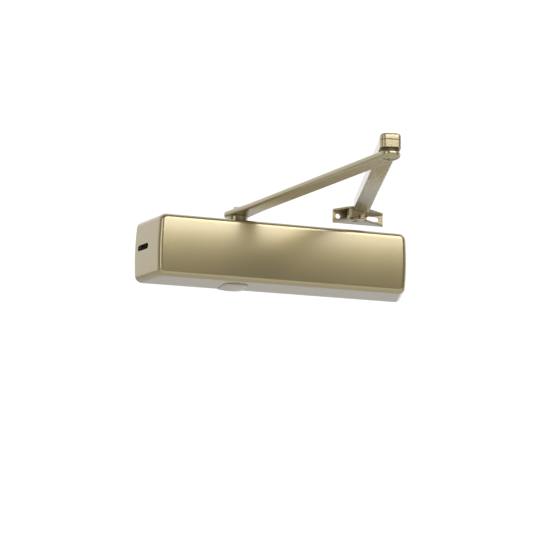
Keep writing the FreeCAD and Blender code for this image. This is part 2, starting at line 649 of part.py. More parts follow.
def make_rack_piston():
    start = Vector(PISTON_LEFT, BORE_Y, 0)
    piston = rod(BORE_RADIUS - PISTON_GAP, start, PISTON_RIGHT - PISTON_LEFT, X_AXIS)
    piston = piston.makeChamfer(0.8, [e for e in piston.Edges if not runs_along(e, X_AXIS)])
    piston = piston.cut(rack_window())
    guide = rod(SPRING_GUIDE_RADIUS, Vector(PISTON_RIGHT - 5.0, BORE_Y, 0), 6.0, X_AXIS)
    piston = piston.cut(guide)
    passage = rod(1.5, Vector(PISTON_LEFT - 1, CHECK_Y, 0), PISTON_HEAD + 2, X_AXIS)
    seat = rod(CHECK_BALL_RADIUS + 0.2, Vector(PISTON_LEFT - 1, CHECK_Y, 0), 9.5, X_AXIS)
    for number in range(PISTON_GROOVES):
        groove_x = PISTON_LEFT + 3.5 + PISTON_GROOVE_PITCH * number
        groove = ring(BORE_RADIUS + 1, BORE_RADIUS - 0.7, Vector(groove_x, BORE_Y, 0), 1.0, X_AXIS)
        piston = piston.cut(groove)
    return piston.cut(passage).cut(seat)


def make_check_ball():
    return Part.makeSphere(CHECK_BALL_RADIUS, Vector(PISTON_LEFT + 5.4, CHECK_Y, 0))


def make_check_retainer():
    return ring(CHECK_BALL_RADIUS + 0.18, 1.4, Vector(PISTON_LEFT + 0.4, CHECK_Y, 0), 1.8, X_AXIS)


def coil_spring(coil_radius, wire_radius, turns):
    """A round-wire helix between the piston and the spring seat."""
    low = PISTON_RIGHT + wire_radius + SPRING_END_GAP
    high = SPRING_SEAT_X - wire_radius - SPRING_END_GAP
    length = high - low
    helix = Part.makeLongHelix(length / turns, length, coil_radius)
    section = Part.Wire(Part.makeCircle(wire_radius, Vector(coil_radius, 0, 0), Y_AXIS))
    spring = Part.Wire(helix).makePipeShell([section], True, True)
    spring.Placement = FreeCAD.Placement(Vector(low, BORE_Y, 0), FreeCAD.Rotation(Z_AXIS, X_AXIS))
    return spring


def make_outer_spring():
    return coil_spring(OUTER_COIL_RADIUS, OUTER_WIRE_RADIUS, OUTER_TURNS)


def make_inner_spring():
    return coil_spring(INNER_COIL_RADIUS, INNER_WIRE_RADIUS, INNER_TURNS)


def make_spring_seat():
    start = Vector(SPRING_SEAT_X, BORE_Y, 0)
    seat = rod(BORE_RADIUS - 0.5, start, SPRING_SEAT_THICKNESS, X_AXIS)
    seat = seat.makeChamfer(1.0, [e for e in seat.Edges if not runs_along(e, X_AXIS)])
    return seat.cut(rod(ADJUSTER_RADIUS + JOURNAL_GAP, start - X_AXIS, SPRING_SEAT_THICKNESS + 2, X_AXIS))


def make_power_screw():
    inner_face = BARREL_HALF - PLUG_LENGTH
    outer = BARREL_HALF + END_CAP_FLANGE + 1.0
    start = Vector(SPRING_SEAT_X - ADJUSTER_START, BORE_Y, 0)
    screw = rod(ADJUSTER_RADIUS, start, outer - start.x, X_AXIS)
    collar = rod(ADJUSTER_COLLAR_RADIUS, Vector(inner_face - 2.6, BORE_Y, 0), 2.4, X_AXIS)
    return screw.fuse(collar).cut(hex_prism(5.0, Vector(outer - 5.0, BORE_Y, 0), 6.0, X_AXIS))


# --- arms -----------------------------------------------------------------------------------------
def tangent_bar(radius_a, radius_b, length, low, high):
    """The hull of two upright round ends, along +X."""
    lean = math.asin((radius_a - radius_b) / length)
    side = [(radius_a * math.sin(lean), radius_a * math.cos(lean)),
            (length + radius_b * math.sin(lean), radius_b * math.cos(lean))]
    outline = [(x, y, low) for x, y in side] + [(x, -y, low) for x, y in reversed(side)]
    bar = prism(outline, Z_AXIS, high - low)
    bar = bar.fuse(upright(radius_a, 0, 0, low, high))
    return bar.fuse(upright(radius_b, length, 0, low, high))


def make_main_arm():
    half = ARM_WIDTH / 2
    bar = tangent_bar(half, half - 0.01, ARM_LENGTH, ARM_Z, ARM_TOP)
    flare = tangent_bar(ARM_EYE_RADIUS, half - 0.02, ARM_FLARE_LENGTH + ARM_EYE_REACH, ARM_Z, ARM_TOP)
    flare.translate(Vector(-ARM_EYE_REACH, 0, 0))
    arm = bar.fuse(flare).removeSplitter()
    arm = fillet_where(arm, ARM_EDGE, lambda e: not runs_along(e, Z_AXIS))
    hub = upright(HUB_RADIUS, 0, 0, HUB_BOTTOM, ARM_TOP - 1)
    hub = hub.makeChamfer(0.8, [e for e in hub.Edges if abs(e.CenterOfMass.z - HUB_BOTTOM) < 0.1])
    arm = arm.fuse(hub)
    socket = SQUARE_SIDE / 2 + 0.05
    cut = block((-socket, -socket, HUB_BOTTOM - 1), (socket, socket, SQUARE_SPAN[1] + 0.3))
    arm = arm.cut(cut)
    arm = arm.cut(upright(ARM_SCREW_HOLE, 0, 0, HUB_BOTTOM, ARM_TOP + 1))
    arm = arm.cut(upright(ELBOW_PIN_RADIUS + THREAD_GAP, ARM_LENGTH, 0, ARM_Z - 1, ARM_TOP + 1))
    arm = arm.cut(upright(ELBOW_PIN_HEAD + 0.15, ARM_LENGTH, 0, ARM_Z - 1, ARM_Z + ELBOW_HEAD_DEPTH))
    return turned(arm, SPINDLE_X, BORE_Y, ARM_ANGLE)


def make_arm_washer():
    return ring(8.0, ARM_SCREW_HOLE, Vector(SPINDLE_X, BORE_Y, ARM_TOP), WASHER_THICKNESS, Z_AXIS)


def make_arm_screw():
    seat = ARM_TOP + WASHER_THICKNESS
    head = upright(5.0, SPINDLE_X, BORE_Y, seat, seat + 3.2)
    head = head.makeFillet(1.0, [e for e in head.Edges if e.CenterOfMass.z > seat + 3])
    shank = upright(ARM_SCREW_RADIUS, SPINDLE_X, BORE_Y, ARM_SCREW_LOW, seat + 0.5)
    screw = head.fuse(shank)
    return screw.cut(hex_prism(4.0, Vector(SPINDLE_X, BORE_Y, seat + 1.0), 3.0, Z_AXIS))


def make_elbow_pin():
    """A headed stud whose head lies just inside the underside of the main arm."""
    head = upright(ELBOW_PIN_HEAD, ELBOW_X, ELBOW_Y, ARM_Z + 0.15, ARM_Z + ELBOW_HEAD_DEPTH)
    head = head.makeChamfer(0.5, [e for e in head.Edges if e.CenterOfMass.z < ARM_Z + 1 and e.Length > 5])
    shank = upright(ELBOW_PIN_RADIUS, ELBOW_X, ELBOW_Y, ARM_Z + 1.0, TONGUE_SPAN[0] + 3.0)
    pin = head.fuse(shank)
    groove_low = TONGUE_SPAN[0] + 1.0
    groove = ring(ELBOW_PIN_RADIUS + 1, 3.2, Vector(ELBOW_X, ELBOW_Y, groove_low), 1.1, Z_AXIS)
    return pin.cut(groove)


def make_elbow_clip():
    """A spring clip in the groove of the elbow pin."""
    low = TONGUE_SPAN[0] + 1.05
    clip = ring(5.8, 3.25, Vector(0, 0, low), 1.0, Z_AXIS)
    clip = clip.cut(block((0, -2.2, low - 1), (8, 2.2, low + 2)))
    return turned(clip, ELBOW_X, ELBOW_Y, ARM_ANGLE)


def make_elbow_washer():
    thickness = KNUCKLE_SPAN[0] - ARM_TOP - 0.3
    return ring(8.6, ELBOW_PIN_RADIUS + JOURNAL_GAP, Vector(ELBOW_X, ELBOW_Y, ARM_TOP), thickness, Z_AXIS)


FOREARM_END = (97.6, -27.0)
FOREARM_DX = FOREARM_END[0] - ELBOW_X
FOREARM_DY = FOREARM_END[1] - ELBOW_Y
FOREARM_ANGLE = math.atan2(FOREARM_DY, FOREARM_DX)
FOREARM_LENGTH = math.hypot(FOREARM_DX, FOREARM_DY)
SEAM_GAP = 0.5


def rounded_plan(back, front, half_width, corner, low, high):
    """An upright block along +X whose front end (towards -X) has rounded corners."""
    plan = block((-front, -half_width, low), (back, half_width, high))
    return fillet_where(plan, corner, lambda e: runs_along(e, Z_AXIS)
                        and e.CenterOfMass.x < 0)


def forearm_bar():
    """The long bar, rising from the elbow to the shoe, with its tongue over the knuckle."""
    seam = KNUCKLE_BACK + SEAM_GAP
    low = KNUCKLE_SPAN[0] + 0.7
    end_low = FOREARM_END_Z
    end_high = end_low + FOREARM_THICKNESS
    half = FOREARM_WIDTH / 2
    lip = end_low + FOREARM_LOWER_LIP
    nose = FOREARM_LENGTH - FOREARM_NOSE
    outline = [(seam, -half, low), (FOREARM_LENGTH, -half, end_low), (FOREARM_LENGTH, -half, lip),
               (nose, -half, end_high), (seam, -half, TONGUE_SPAN[1] - 0.2)]
    bar = prism(outline, Y_AXIS, FOREARM_WIDTH)
    return fillet_where(bar, FOREARM_EDGE, lambda e: runs_along(e, X_AXIS))


def make_forearm():
    """One forging: bar, tongue at the elbow and lug at the shoe."""
    tongue = rounded_plan(TONGUE_LENGTH, KNUCKLE_FRONT, KNUCKLE_WIDTH / 2, KNUCKLE_CORNER, *TONGUE_SPAN)
    top = TONGUE_SPAN[1]
    tongue = fillet_where(tongue, TONGUE_ROUND, lambda e: abs(e.CenterOfMass.z - top) < 0.01
                          and e.CenterOfMass.x < TONGUE_LENGTH - 1)
    arm = forearm_bar().fuse(tongue)
    pocket_top = TONGUE_SPAN[0] + ELBOW_POCKET_DEPTH
    arm = arm.cut(upright(ELBOW_POCKET_RADIUS, 0, 0, TONGUE_SPAN[0] - 1, pocket_top))
    tapped = KNUCKLE_SCREW_RADIUS + THREAD_GAP
    arm = arm.cut(upright(tapped, KNUCKLE_SCREW_X, 0, TONGUE_SPAN[0] - 1, TONGUE_SPAN[0] + 4))
    arm = turned(arm, ELBOW_X, ELBOW_Y, FOREARM_ANGLE)
    return arm.fuse(shoe_lug()).removeSplitter()


def shoe_lug():
    """The lug between the shoe's flanges: round at the back, flat and recessed in front."""
    x, y = SHOE_PIVOT
    front = SHOE_NOSE_Y - LUG_NOSE
    low, high = LUG_SPAN
    lug = upright(LUG_RADIUS, x, y, low, high)
    lug = lug.fuse(block((x - LUG_RADIUS, front, low), (x + LUG_RADIUS, y, high)))
    lug = fillet_where(lug, LUG_CORNER, lambda e: runs_along(e, Z_AXIS)
                       and e.CenterOfMass.y < front + 0.1)
    neck_reach = 12.0
    neck = block((-2.0, -FOREARM_WIDTH / 2 + 1.2, FOREARM_END_Z + 0.4),
                 (neck_reach, FOREARM_WIDTH / 2 - 1.2, high))
    neck = turned(neck, FOREARM_END[0], FOREARM_END[1], FOREARM_ANGLE)
    lug = lug.fuse(neck)
    half = LUG_RECESS_HALF
    spring = low + LUG_RECESS_SPRING
    recess = block((x - half, front - PAST, low - PAST), (x + half, front + LUG_RECESS_DEPTH, spring))
    recess = recess.fuse(rod(half, Vector(x, front - PAST, spring), LUG_RECESS_DEPTH + PAST, Y_AXIS))
    lug = lug.cut(recess)
    return lug.cut(upright(SHOE_PIN_RADIUS + BUSH_WALL, x, y, low - 1, high + 1))


def make_elbow_knuckle():
    low, high = KNUCKLE_SPAN
    knuckle = rounded_plan(KNUCKLE_BACK, KNUCKLE_FRONT, KNUCKLE_WIDTH / 2, KNUCKLE_CORNER, low, high)
    knuckle = fillet_where(knuckle, 0.6, lambda e: not runs_along(e, Z_AXIS)
                           and e.CenterOfMass.x < KNUCKLE_BACK - 0.1)
    knuckle = knuckle.cut(upright(ELBOW_PIN_RADIUS + BUSH_WALL, 0, 0, low - 1, high + 1))
    knuckle = knuckle.cut(upright(KNUCKLE_SCREW_RADIUS + 0.2, KNUCKLE_SCREW_X, 0, low - 1, high + 1))
    knuckle = knuckle.cut(upright(KNUCKLE_SCREW_HEAD + 0.1, KNUCKLE_SCREW_X, 0, low - 1, low + 2.2))
    return turned(knuckle, ELBOW_X, ELBOW_Y, FOREARM_ANGLE)


def make_elbow_bush():
    low, high = KNUCKLE_SPAN
    start = Vector(ELBOW_X, ELBOW_Y, low + 0.05)
    return ring(ELBOW_PIN_RADIUS + 1.58, ELBOW_PIN_RADIUS + JOURNAL_GAP, start, high - low - 0.1, Z_AXIS)


def make_knuckle_screw():
    low = KNUCKLE_SPAN[0] + 0.2
    screw = upright(KNUCKLE_SCREW_HEAD, KNUCKLE_SCREW_X, 0, low, low + 1.9)
    screw = screw.fuse(upright(KNUCKLE_SCREW_RADIUS, KNUCKLE_SCREW_X, 0, low, TONGUE_SPAN[0] + 3.5))
    screw = screw.cut(hex_prism(2.0, Vector(KNUCKLE_SCREW_X, 0, low - 0.1), 1.4, Z_AXIS))
    return turned(screw, ELBOW_X, ELBOW_Y, FOREARM_ANGLE)


def make_shoe_bush():
    low, high = LUG_SPAN
    start = Vector(SHOE_PIVOT[0], SHOE_PIVOT[1], low + 0.05)
    return ring(SHOE_PIN_RADIUS + 1.58, SHOE_PIN_RADIUS + JOURNAL_GAP, start, high - low - 0.1, Z_AXIS)


# --- frame shoe -----------------------------------------------------------------------------------
def make_frame_shoe():
    """A folded channel: a back plate and two flanges that are deepest at the pivot."""
    plate = block((SHOE_LEFT, -SHOE_SHEET, SHOE_BOTTOM), (SHOE_RIGHT, 0, SHOE_TOP))
    nose_left = SHOE_PIVOT[0] - SHOE_NOSE_HALF
    nose_right = SHOE_PIVOT[0] + SHOE_NOSE_HALF
    end_y = -SHOE_SHEET - SHOE_END_DEPTH
    outline = [(SHOE_LEFT, 0, 0), (SHOE_LEFT, end_y, 0), (nose_left, SHOE_NOSE_Y, 0),
               (nose_right, SHOE_NOSE_Y, 0), (SHOE_RIGHT, end_y, 0), (SHOE_RIGHT, 0, 0)]
    flange = prism(outline, Z_AXIS, SHOE_SHEET)
    flange = fillet_where(flange, SHOE_CORNER, lambda e: runs_along(e, Z_AXIS)
                          and e.CenterOfMass.y < SHOE_NOSE_Y + 1)
    shoe = plate
    for level in (SHOE_BOTTOM, SHOE_TOP - SHOE_SHEET):
        leaf = flange.copy()
        leaf.translate(Z_AXIS * level)
        shoe = shoe.fuse(leaf)
    shoe = shoe.removeSplitter()
    outer_levels = (SHOE_BOTTOM, SHOE_TOP)
    shoe = fillet_where(shoe, SHOE_BEND, lambda e: runs_along(e, X_AXIS)
                        and abs(e.CenterOfMass.y) < 0.01
                        and min(abs(e.CenterOfMass.z - z) for z in outer_levels) < 0.01)
    middle = (SHOE_BOTTOM + SHOE_TOP) / 2
    shoe = shoe.cut(rod(SHOE_HOLE_RADIUS, Vector(SHOE_HOLE_X, -5, middle), 8, Y_AXIS))
    half = SHOE_SLOT_LENGTH / 2 - SHOE_HOLE_RADIUS
    slot = block((SHOE_SLOT_X - half, -5, middle - SHOE_HOLE_RADIUS),
                 (SHOE_SLOT_X + half, 3, middle + SHOE_HOLE_RADIUS))
    for end in (-half, half):
        slot = slot.fuse(rod(SHOE_HOLE_RADIUS, Vector(SHOE_SLOT_X + end, -5, middle), 8, Y_AXIS))
    shoe = shoe.cut(slot)
    x, y = SHOE_PIVOT
    return shoe.cut(upright(SHOE_PIN_RADIUS + 0.02, x, y, SHOE_BOTTOM - PAST, SHOE_TOP + PAST))


def make_shoe_pin():
    """A headed pin, peened under the lower flange."""
    x, y = SHOE_PIVOT
    pin = upright(SHOE_PIN_RADIUS, x, y, SHOE_BOTTOM - 0.6, SHOE_TOP + 0.5)
    pin = pin.makeChamfer(0.5, [e for e in pin.Edges if e.CenterOfMass.z < SHOE_BOTTOM and e.Length > 5])
    head_top = SHOE_TOP + 2.0
    head = upright(5.2, x, y, SHOE_TOP + 0.02, head_top)
    head = head.makeFillet(0.9, [e for e in head.Edges if e.CenterOfMass.z > head_top - 0.5 and e.Length > 5])
    return pin.fuse(head)


def make_shoe_washers():
    inner_low = SHOE_BOTTOM + SHOE_SHEET
    inner_high = SHOE_TOP - SHOE_SHEET
    washers = []
    for low, high in ((inner_low, LUG_SPAN[0] - 0.1), (LUG_SPAN[1] + 0.1, inner_high)):
        start = Vector(SHOE_PIVOT[0], SHOE_PIVOT[1], low)
        washers.append(ring(7.0, SHOE_PIN_RADIUS + 0.05, start, high - low, Z_AXIS))
    return Part.makeCompound(washers)


def all_parts():
    """Every node of the closer, by name."""
    parts = {
        "cover_shell": make_cover_shell(),
        "pinion_cap": make_pinion_cap(),
        "hydraulic_body": make_hydraulic_body(),
        "valve_end_cap": make_valve_end_cap(),
        "spring_end_cap": make_spring_end_cap(),
        "valve_end_seal": end_seal(-1),
        "spring_end_seal": end_seal(1),
        "backcheck_valve": make_backcheck_valve(),
        "cover_clips": make_cover_clips(),
        "clip_screws": make_clip_screws(),
        "end_pads": make_end_pads(),
        "pinion_shaft": make_pinion_shaft(),
        "rack_piston": make_rack_piston(),
        "check_ball": make_check_ball(),
        "check_retainer": make_check_retainer(),
        "outer_spring": make_outer_spring(),
        "inner_spring": make_inner_spring(),
        "spring_seat": make_spring_seat(),
        "power_screw": make_power_screw(),
        "main_arm": make_main_arm(),
        "arm_washer": make_arm_washer(),
        "arm_screw": make_arm_screw(),
        "elbow_pin": make_elbow_pin(),
        "elbow_clip": make_elbow_clip(),
        "elbow_washer": make_elbow_washer(),
        "elbow_knuckle": make_elbow_knuckle(),
        "elbow_bush": make_elbow_bush(),
        "knuckle_screw": make_knuckle_screw(),
        "forearm": make_forearm(),
        "shoe_bush": make_shoe_bush(),
        "frame_shoe": make_frame_shoe(),
        "shoe_pin": make_shoe_pin(),
        "shoe_washers": make_shoe_washers(),
    }
    for name, y in VALVE_PLACES.items():
        parts[name] = regulating_screw(y)
    for word, side in (("upper", 1), ("lower", -1)):
        parts[word + "_bearing"] = make_bearing(side)
        parts[word + "_spindle_seal"] = make_spindle_seal(side)
        parts[word + "_retainer_ring"] = make_retainer_ring(side)
    return parts


def main():
    os.makedirs("parts", exist_ok=True)
    for name, solid in all_parts().items():
        solid.exportStep("parts/" + name + ".step")
        print(name, "solids", len(solid.Solids), "valid", solid.isValid(), "volume", round(solid.Volume, 1))


main()
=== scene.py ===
"""Looks of the door closer: painted cover and arms, springs, fasteners, finishes and studio."""
import json
import math

import bmesh
import bpy
from mathutils import Matrix, Vector


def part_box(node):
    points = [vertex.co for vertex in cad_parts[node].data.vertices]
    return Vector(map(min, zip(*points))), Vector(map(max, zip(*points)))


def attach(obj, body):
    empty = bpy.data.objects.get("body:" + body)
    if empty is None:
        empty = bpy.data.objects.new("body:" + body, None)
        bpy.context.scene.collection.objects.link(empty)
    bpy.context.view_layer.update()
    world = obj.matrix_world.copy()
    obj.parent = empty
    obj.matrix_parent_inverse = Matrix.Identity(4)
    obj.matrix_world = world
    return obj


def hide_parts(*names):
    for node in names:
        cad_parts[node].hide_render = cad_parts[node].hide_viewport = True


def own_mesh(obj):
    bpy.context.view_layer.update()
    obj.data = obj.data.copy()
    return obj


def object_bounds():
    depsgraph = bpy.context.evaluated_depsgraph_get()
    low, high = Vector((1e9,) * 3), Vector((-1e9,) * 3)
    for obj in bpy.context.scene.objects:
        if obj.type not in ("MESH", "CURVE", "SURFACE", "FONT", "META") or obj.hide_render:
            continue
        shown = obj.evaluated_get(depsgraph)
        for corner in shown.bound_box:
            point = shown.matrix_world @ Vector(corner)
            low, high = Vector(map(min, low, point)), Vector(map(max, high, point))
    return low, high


bl_info = {
    "name": "Door Closer Builder",
    "version": (1, 0, 0),
    "blender": (4, 5, 0),
    "location": "3D View > Sidebar > Closer",
    "description": "Builds the visible pieces and finishes of a surface-mounted door closer",
    "category": "Add Mesh",
}

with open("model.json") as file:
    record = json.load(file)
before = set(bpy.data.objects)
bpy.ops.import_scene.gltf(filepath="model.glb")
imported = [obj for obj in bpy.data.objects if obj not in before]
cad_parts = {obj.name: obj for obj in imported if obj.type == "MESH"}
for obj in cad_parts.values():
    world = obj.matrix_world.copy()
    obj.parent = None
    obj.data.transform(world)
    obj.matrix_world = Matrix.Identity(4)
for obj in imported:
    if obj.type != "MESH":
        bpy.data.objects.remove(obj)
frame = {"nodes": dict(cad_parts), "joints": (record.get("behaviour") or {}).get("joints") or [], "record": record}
FRAME_LOW, FRAME_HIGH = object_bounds()
FRAME_LOW, FRAME_HIGH = FRAME_LOW.copy(), FRAME_HIGH.copy()

# --- sizes read from the frame ---
COVER_LOW, COVER_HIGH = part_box("cover_shell")
CAP_LOW, CAP_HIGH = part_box("pinion_cap")
ARM_LOW, ARM_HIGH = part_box("main_arm")
KNUCKLE_LOW, KNUCKLE_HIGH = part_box("elbow_knuckle")
FOREARM_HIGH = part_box("forearm")[1]
SHOE_LOW, SHOE_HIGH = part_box("frame_shoe")
WASHER_LOW, WASHER_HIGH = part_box("arm_washer")
SCREW_LOW, SCREW_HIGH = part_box("arm_screw")
ELBOW_PIN_LOW, ELBOW_PIN_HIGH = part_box("elbow_pin")
SHOE_PIN_LOW, SHOE_PIN_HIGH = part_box("shoe_pin")
OUTER_LOW, OUTER_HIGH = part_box("outer_spring")
INNER_LOW, INNER_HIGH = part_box("inner_spring")
JOINTS = {joint["name"]: joint for joint in frame["joints"]}
SPINDLE = Vector(JOINTS["arm_swing"]["pos_m"])
ELBOW = Vector(JOINTS["elbow_swing"]["pos_m"])
SHOE_PIVOT = Vector(JOINTS["shoe_swing"]["pos_m"])
ARM_RUN = ELBOW.xy - SPINDLE.xy
ARM_ANGLE = math.atan2(ARM_RUN.y, ARM_RUN.x)
SMOOTH_LIMIT = math.radians(32.0)  # edges sharper than this are softened
SHARP_LIMIT = SMOOTH_LIMIT * 1.6  # edges sharper than this stay sharp in the shading
DOUBLES = 1e-6  # vertices this close are one
NEAR = DOUBLES * 10  # slack when an edge is picked by its place
PAST = 0.001  # how far a cutter runs past the surface it opens


# --- settings that a user would change ---
def length_setting(name, description, default):
    """A length that shows in the scene's units."""
    return bpy.props.FloatProperty(name=name, description=description, default=default, min=0.0,
                                   precision=4, unit="LENGTH", subtype="DISTANCE")


def colour_setting(name, description, default):
    """A linear colour."""
    return bpy.props.FloatVectorProperty(name=name, description=description, default=default, size=3,
                                         min=0.0, max=1.0, subtype="COLOR")


def share_setting(name, description, default):
    """A number from 0 to 1."""
    return bpy.props.FloatProperty(name=name, description=description, default=default, min=0.0,
                                   max=1.0, subtype="FACTOR")


def angle_setting(name, description, degrees):
    """An angle that shows in the scene's units."""
    return bpy.props.FloatProperty(name=name, description=description, unit="ROTATION",
                                   default=math.radians(degrees))


def strength_setting(name, description, default):
    """A number that can't be negative."""
    return bpy.props.FloatProperty(name=name, description=description, default=default, min=0.0)


class CoverSizes(bpy.types.PropertyGroup):
    """Sizes of the pressed cover and of the spindle cap under it."""
    wall: length_setting("Wall", "Thickness of the cover's sheet", 0.002)
    end_taper: length_setting("End Taper", "How far each end leans in from the door to the front", 0.0155)
    end_radius: length_setting("End Radius", "Radius of the edges that run from the door to the front",
                               0.0072)
    front_radius: length_setting("Front Radius", "Radius round the front face", 0.0054)
    end_crown: length_setting("End Crown", "Bulge of each end face", 0.0017)
    front_crown: length_setting("Front Crown", "Bulge of the front face", 0.001)
    notch_radius: length_setting("Notch Radius", "Radius of the notches round the spindle", 0.0132)
    slot_length: length_setting("Slot Length", "Length of the oblong key opening", 0.025)
    slot_height: length_setting("Slot Height", "Height of the oblong key opening", 0.0064)
    slot_depth: length_setting("Slot Place", "Distance of the key opening from the door", 0.0186)
    slot_level: length_setting("Slot Level", "Height of the key opening above the middle", 0.0022)
    key_hole_radius: length_setting("Key Hole Radius", "Radius of the round key opening", 0.005)
    cap_drop: length_setting("Cap Drop", "How far the cap's crown stands below the cover", 0.0019)
    cap_edge: length_setting("Cap Edge", "How far the cap's sides stand below the cover", 0.0007)
    cap_rim: length_setting("Cap Rim", "Radius of the cap's rim inside the notch", 0.0129)


class ArmSizes(bpy.types.PropertyGroup):
    """Sizes of the two arms and of the elbow."""
    thickness: length_setting("Thickness", "Thickness of the main arm", 0.0065)
    half_width: length_setting("Half Width", "Half the width of the main arm", 0.0102)
    eye_radius: length_setting("Eye Radius", "Radius of the arm's eye at the spindle", 0.013)
    eye_reach: length_setting("Eye Reach", "How far beyond the spindle the eye is centred", 0.0045)
    flare: length_setting("Flare", "Length over which the eye narrows to the bar", 0.045)
    edge: length_setting("Edge", "Rounding of the main arm's edges", 0.0026)
    hub_radius: length_setting("Hub Radius", "Radius of the hub on the spindle", 0.0115)
    forearm_half: length_setting("Forearm Half Width", "Half the width of the forearm", 0.0095)
    forearm_edge: length_setting("Forearm Edge", "Rounding of the forearm's edges", 0.0022)
    forearm_thickness: length_setting("Forearm Thickness", "Thickness of the forearm", 0.0124)
    knuckle_front: length_setting("Knuckle Front", "Elbow axis to the front of the knuckle", 0.0102)
    knuckle_back: length_setting("Knuckle Back", "Elbow axis to the seam in the forearm", 0.0135)
    knuckle_corner: length_setting("Knuckle Corner", "Plan radius of the elbow's corners", 0.0056)
    seam: length_setting("Seam", "Gap between the knuckle and the forearm's bar", 0.0005)


class ShoeSizes(bpy.types.PropertyGroup):
    """Sizes of the frame shoe."""
    sheet: length_setting("Sheet", "Thickness of the shoe's sheet", 0.0022)
    bend: length_setting("Bend", "Outer radius of the two folds", 0.0015)
    nose_half: length_setting("Nose Half Width", "Half the width of each flange's nose", 0.0094)
    nose_corner: length_setting("Nose Corner", "Radius of each flange's corners", 0.002)
    hole_radius: length_setting("Hole Radius", "Radius of the screw hole and of the slot's ends", 0.003)
    hole_place: length_setting("Hole Place", "Shoe's left end to the round hole", 0.006)
    slot_place: length_setting("Slot Place", "Shoe's left end to the middle of the slot", 0.0484)
    slot_length: length_setting("Slot Length", "Length of the slot", 0.0148)


class Finishes(bpy.types.PropertyGroup):
    """Colours of the finishes."""
    champagne: colour_setting("Champagne", "Metallic paint of the cover and arms", (0.345, 0.279, 0.136))
    flake: share_setting("Flake", "How much the paint's fine flake shows", 0.05)
    cast_metal: colour_setting("Cast Metal", "Rough casting of the body", (0.155, 0.155, 0.160))
    zinc: colour_setting("Zinc", "Zinc plated steel", (0.560, 0.570, 0.565))
    ground: colour_setting("Ground Steel", "Ground and hardened steel", (0.500, 0.495, 0.480))
    spring: colour_setting("Spring Steel", "Oiled spring steel", (0.075, 0.080, 0.090))
    oxide: colour_setting("Black Oxide", "Blackened screws", (0.022, 0.022, 0.024))
    bronze: colour_setting("Bronze", "Sintered bronze bushes", (0.480, 0.250, 0.095))
    rubber: colour_setting("Rubber", "Seals", (0.040, 0.036, 0.029))


class StudioSettings(bpy.types.PropertyGroup):
    """Place of the camera and strength of the lights."""
    yaw: angle_setting("Yaw", "Turn of the camera about the upright", 15.68)
    pitch: angle_setting("Pitch", "How far the camera looks up", 10.9)
    roll: angle_setting("Roll", "Tilt of the camera", 1.45)
    distance: length_setting("Distance", "Camera to the point it is aimed at", 1.7597)
    lens: bpy.props.FloatProperty(name="Lens", description="Focal length of the camera", default=103.63,
                                  unit="CAMERA")
    key_light: strength_setting("Key Light", "Power of the overhead softbox in watts", 79.0)
    fill_light: strength_setting("Fill Light", "Power of the left softbox in watts", 11.0)
    backdrop: strength_setting("Backdrop", "Brightness of the white surroundings", 1.05)


# --- modelling with mesh operators ---
def face_out(form):
    """Turns all faces outwards."""
    bmesh.ops.recalc_face_normals(form, faces=form.faces[:])


def shift(form, x, y, z=0.0):
    """Moves a form."""
    bmesh.ops.translate(form, vec=(x, y, z), verts=form.verts[:])
    return form


def verts_in(items):
    """The vertices in an operator's result."""
    return [item for item in items if isinstance(item, bmesh.types.BMVert)]


def split(form, place, normal, drop=False):
    """Cuts a form along a plane; what lies beyond the plane can be dropped."""
    return bmesh.ops.bisect_plane(form, geom=form.verts[:] + form.edges[:] + form.faces[:], dist=DOUBLES,
                                  plane_co=place, plane_no=normal, clear_outer=drop)


def trace(start, *moves):
    """A flat closed outline: each move is ("line", x, y) or ("arc", x, y, degrees) about a centre."""
    form = bmesh.new()
    tip = form.verts.new((start[0], start[1], 0.0))
    for move in moves:
        if move[0] == "line":
            made = bmesh.ops.extrude_vert_indiv(form, verts=[tip])
            tip = made["verts"][0]
            tip.co = (move[1], move[2], 0.0)
        else:
            steps = max(3, round(abs(move[3]) / 6))
            made = bmesh.ops.spin(form, geom=[tip], cent=(move[1], move[2], 0.0), axis=(0, 0, 1),
                                  angle=math.radians(move[3]), steps=steps, use_merge=False,
                                  use_duplicate=False)
            tip = verts_in(made["geom_last"])[0]
    bmesh.ops.remove_doubles(form, verts=form.verts[:], dist=DOUBLES)
    bmesh.ops.contextual_create(form, geom=form.edges[:])
    return form


def thicken(form, low, high):
    """Gives a flat outline its height between two levels."""
    shift(form, 0, 0, low)
    made = bmesh.ops.extrude_face_region(form, geom=form.faces[:])
    raised = verts_in(made["geom"])
    bmesh.ops.translate(form, vec=(0, 0, high - low), verts=raised)
    face_out(form)
    return form


def box_form(low, high):
    """A closed block between two corners."""
    form = bmesh.new()
    bmesh.ops.create_cube(form, size=1.0)
    low, high = Vector(low), Vector(high)
    bmesh.ops.scale(form, vec=high - low, verts=form.verts[:])
    return shift(form, *((low + high) / 2))


def drum_form(radius, centre, low, high, segments=48):
    """A closed upright drum."""
    form = bmesh.new()
    bmesh.ops.create_cone(form, cap_ends=True, cap_tris=False, segments=segments, radius1=radius,
                          radius2=radius, depth=high - low)
    return shift(form, centre[0], centre[1], (low + high) / 2)


def lathe(profile, centre, steps=64):
    """Turns a profile of (radius, level) points about an upright axis; it starts and ends on the axis."""
    form = bmesh.new()
    tip = form.verts.new((profile[0][0], 0.0, profile[0][1]))
    for radius, level in profile[1:]:
        made = bmesh.ops.extrude_vert_indiv(form, verts=[tip])
        tip = made["verts"][0]
        tip.co = (radius, 0.0, level)
    bmesh.ops.spin(form, geom=form.verts[:] + form.edges[:], cent=(0, 0, 0), axis=(0, 0, 1),
                   angle=2 * math.pi, steps=steps, use_merge=True, use_duplicate=False)
    bmesh.ops.remove_doubles(form, verts=form.verts[:], dist=DOUBLES)
    face_out(form)
    return shift(form, centre[0], centre[1])


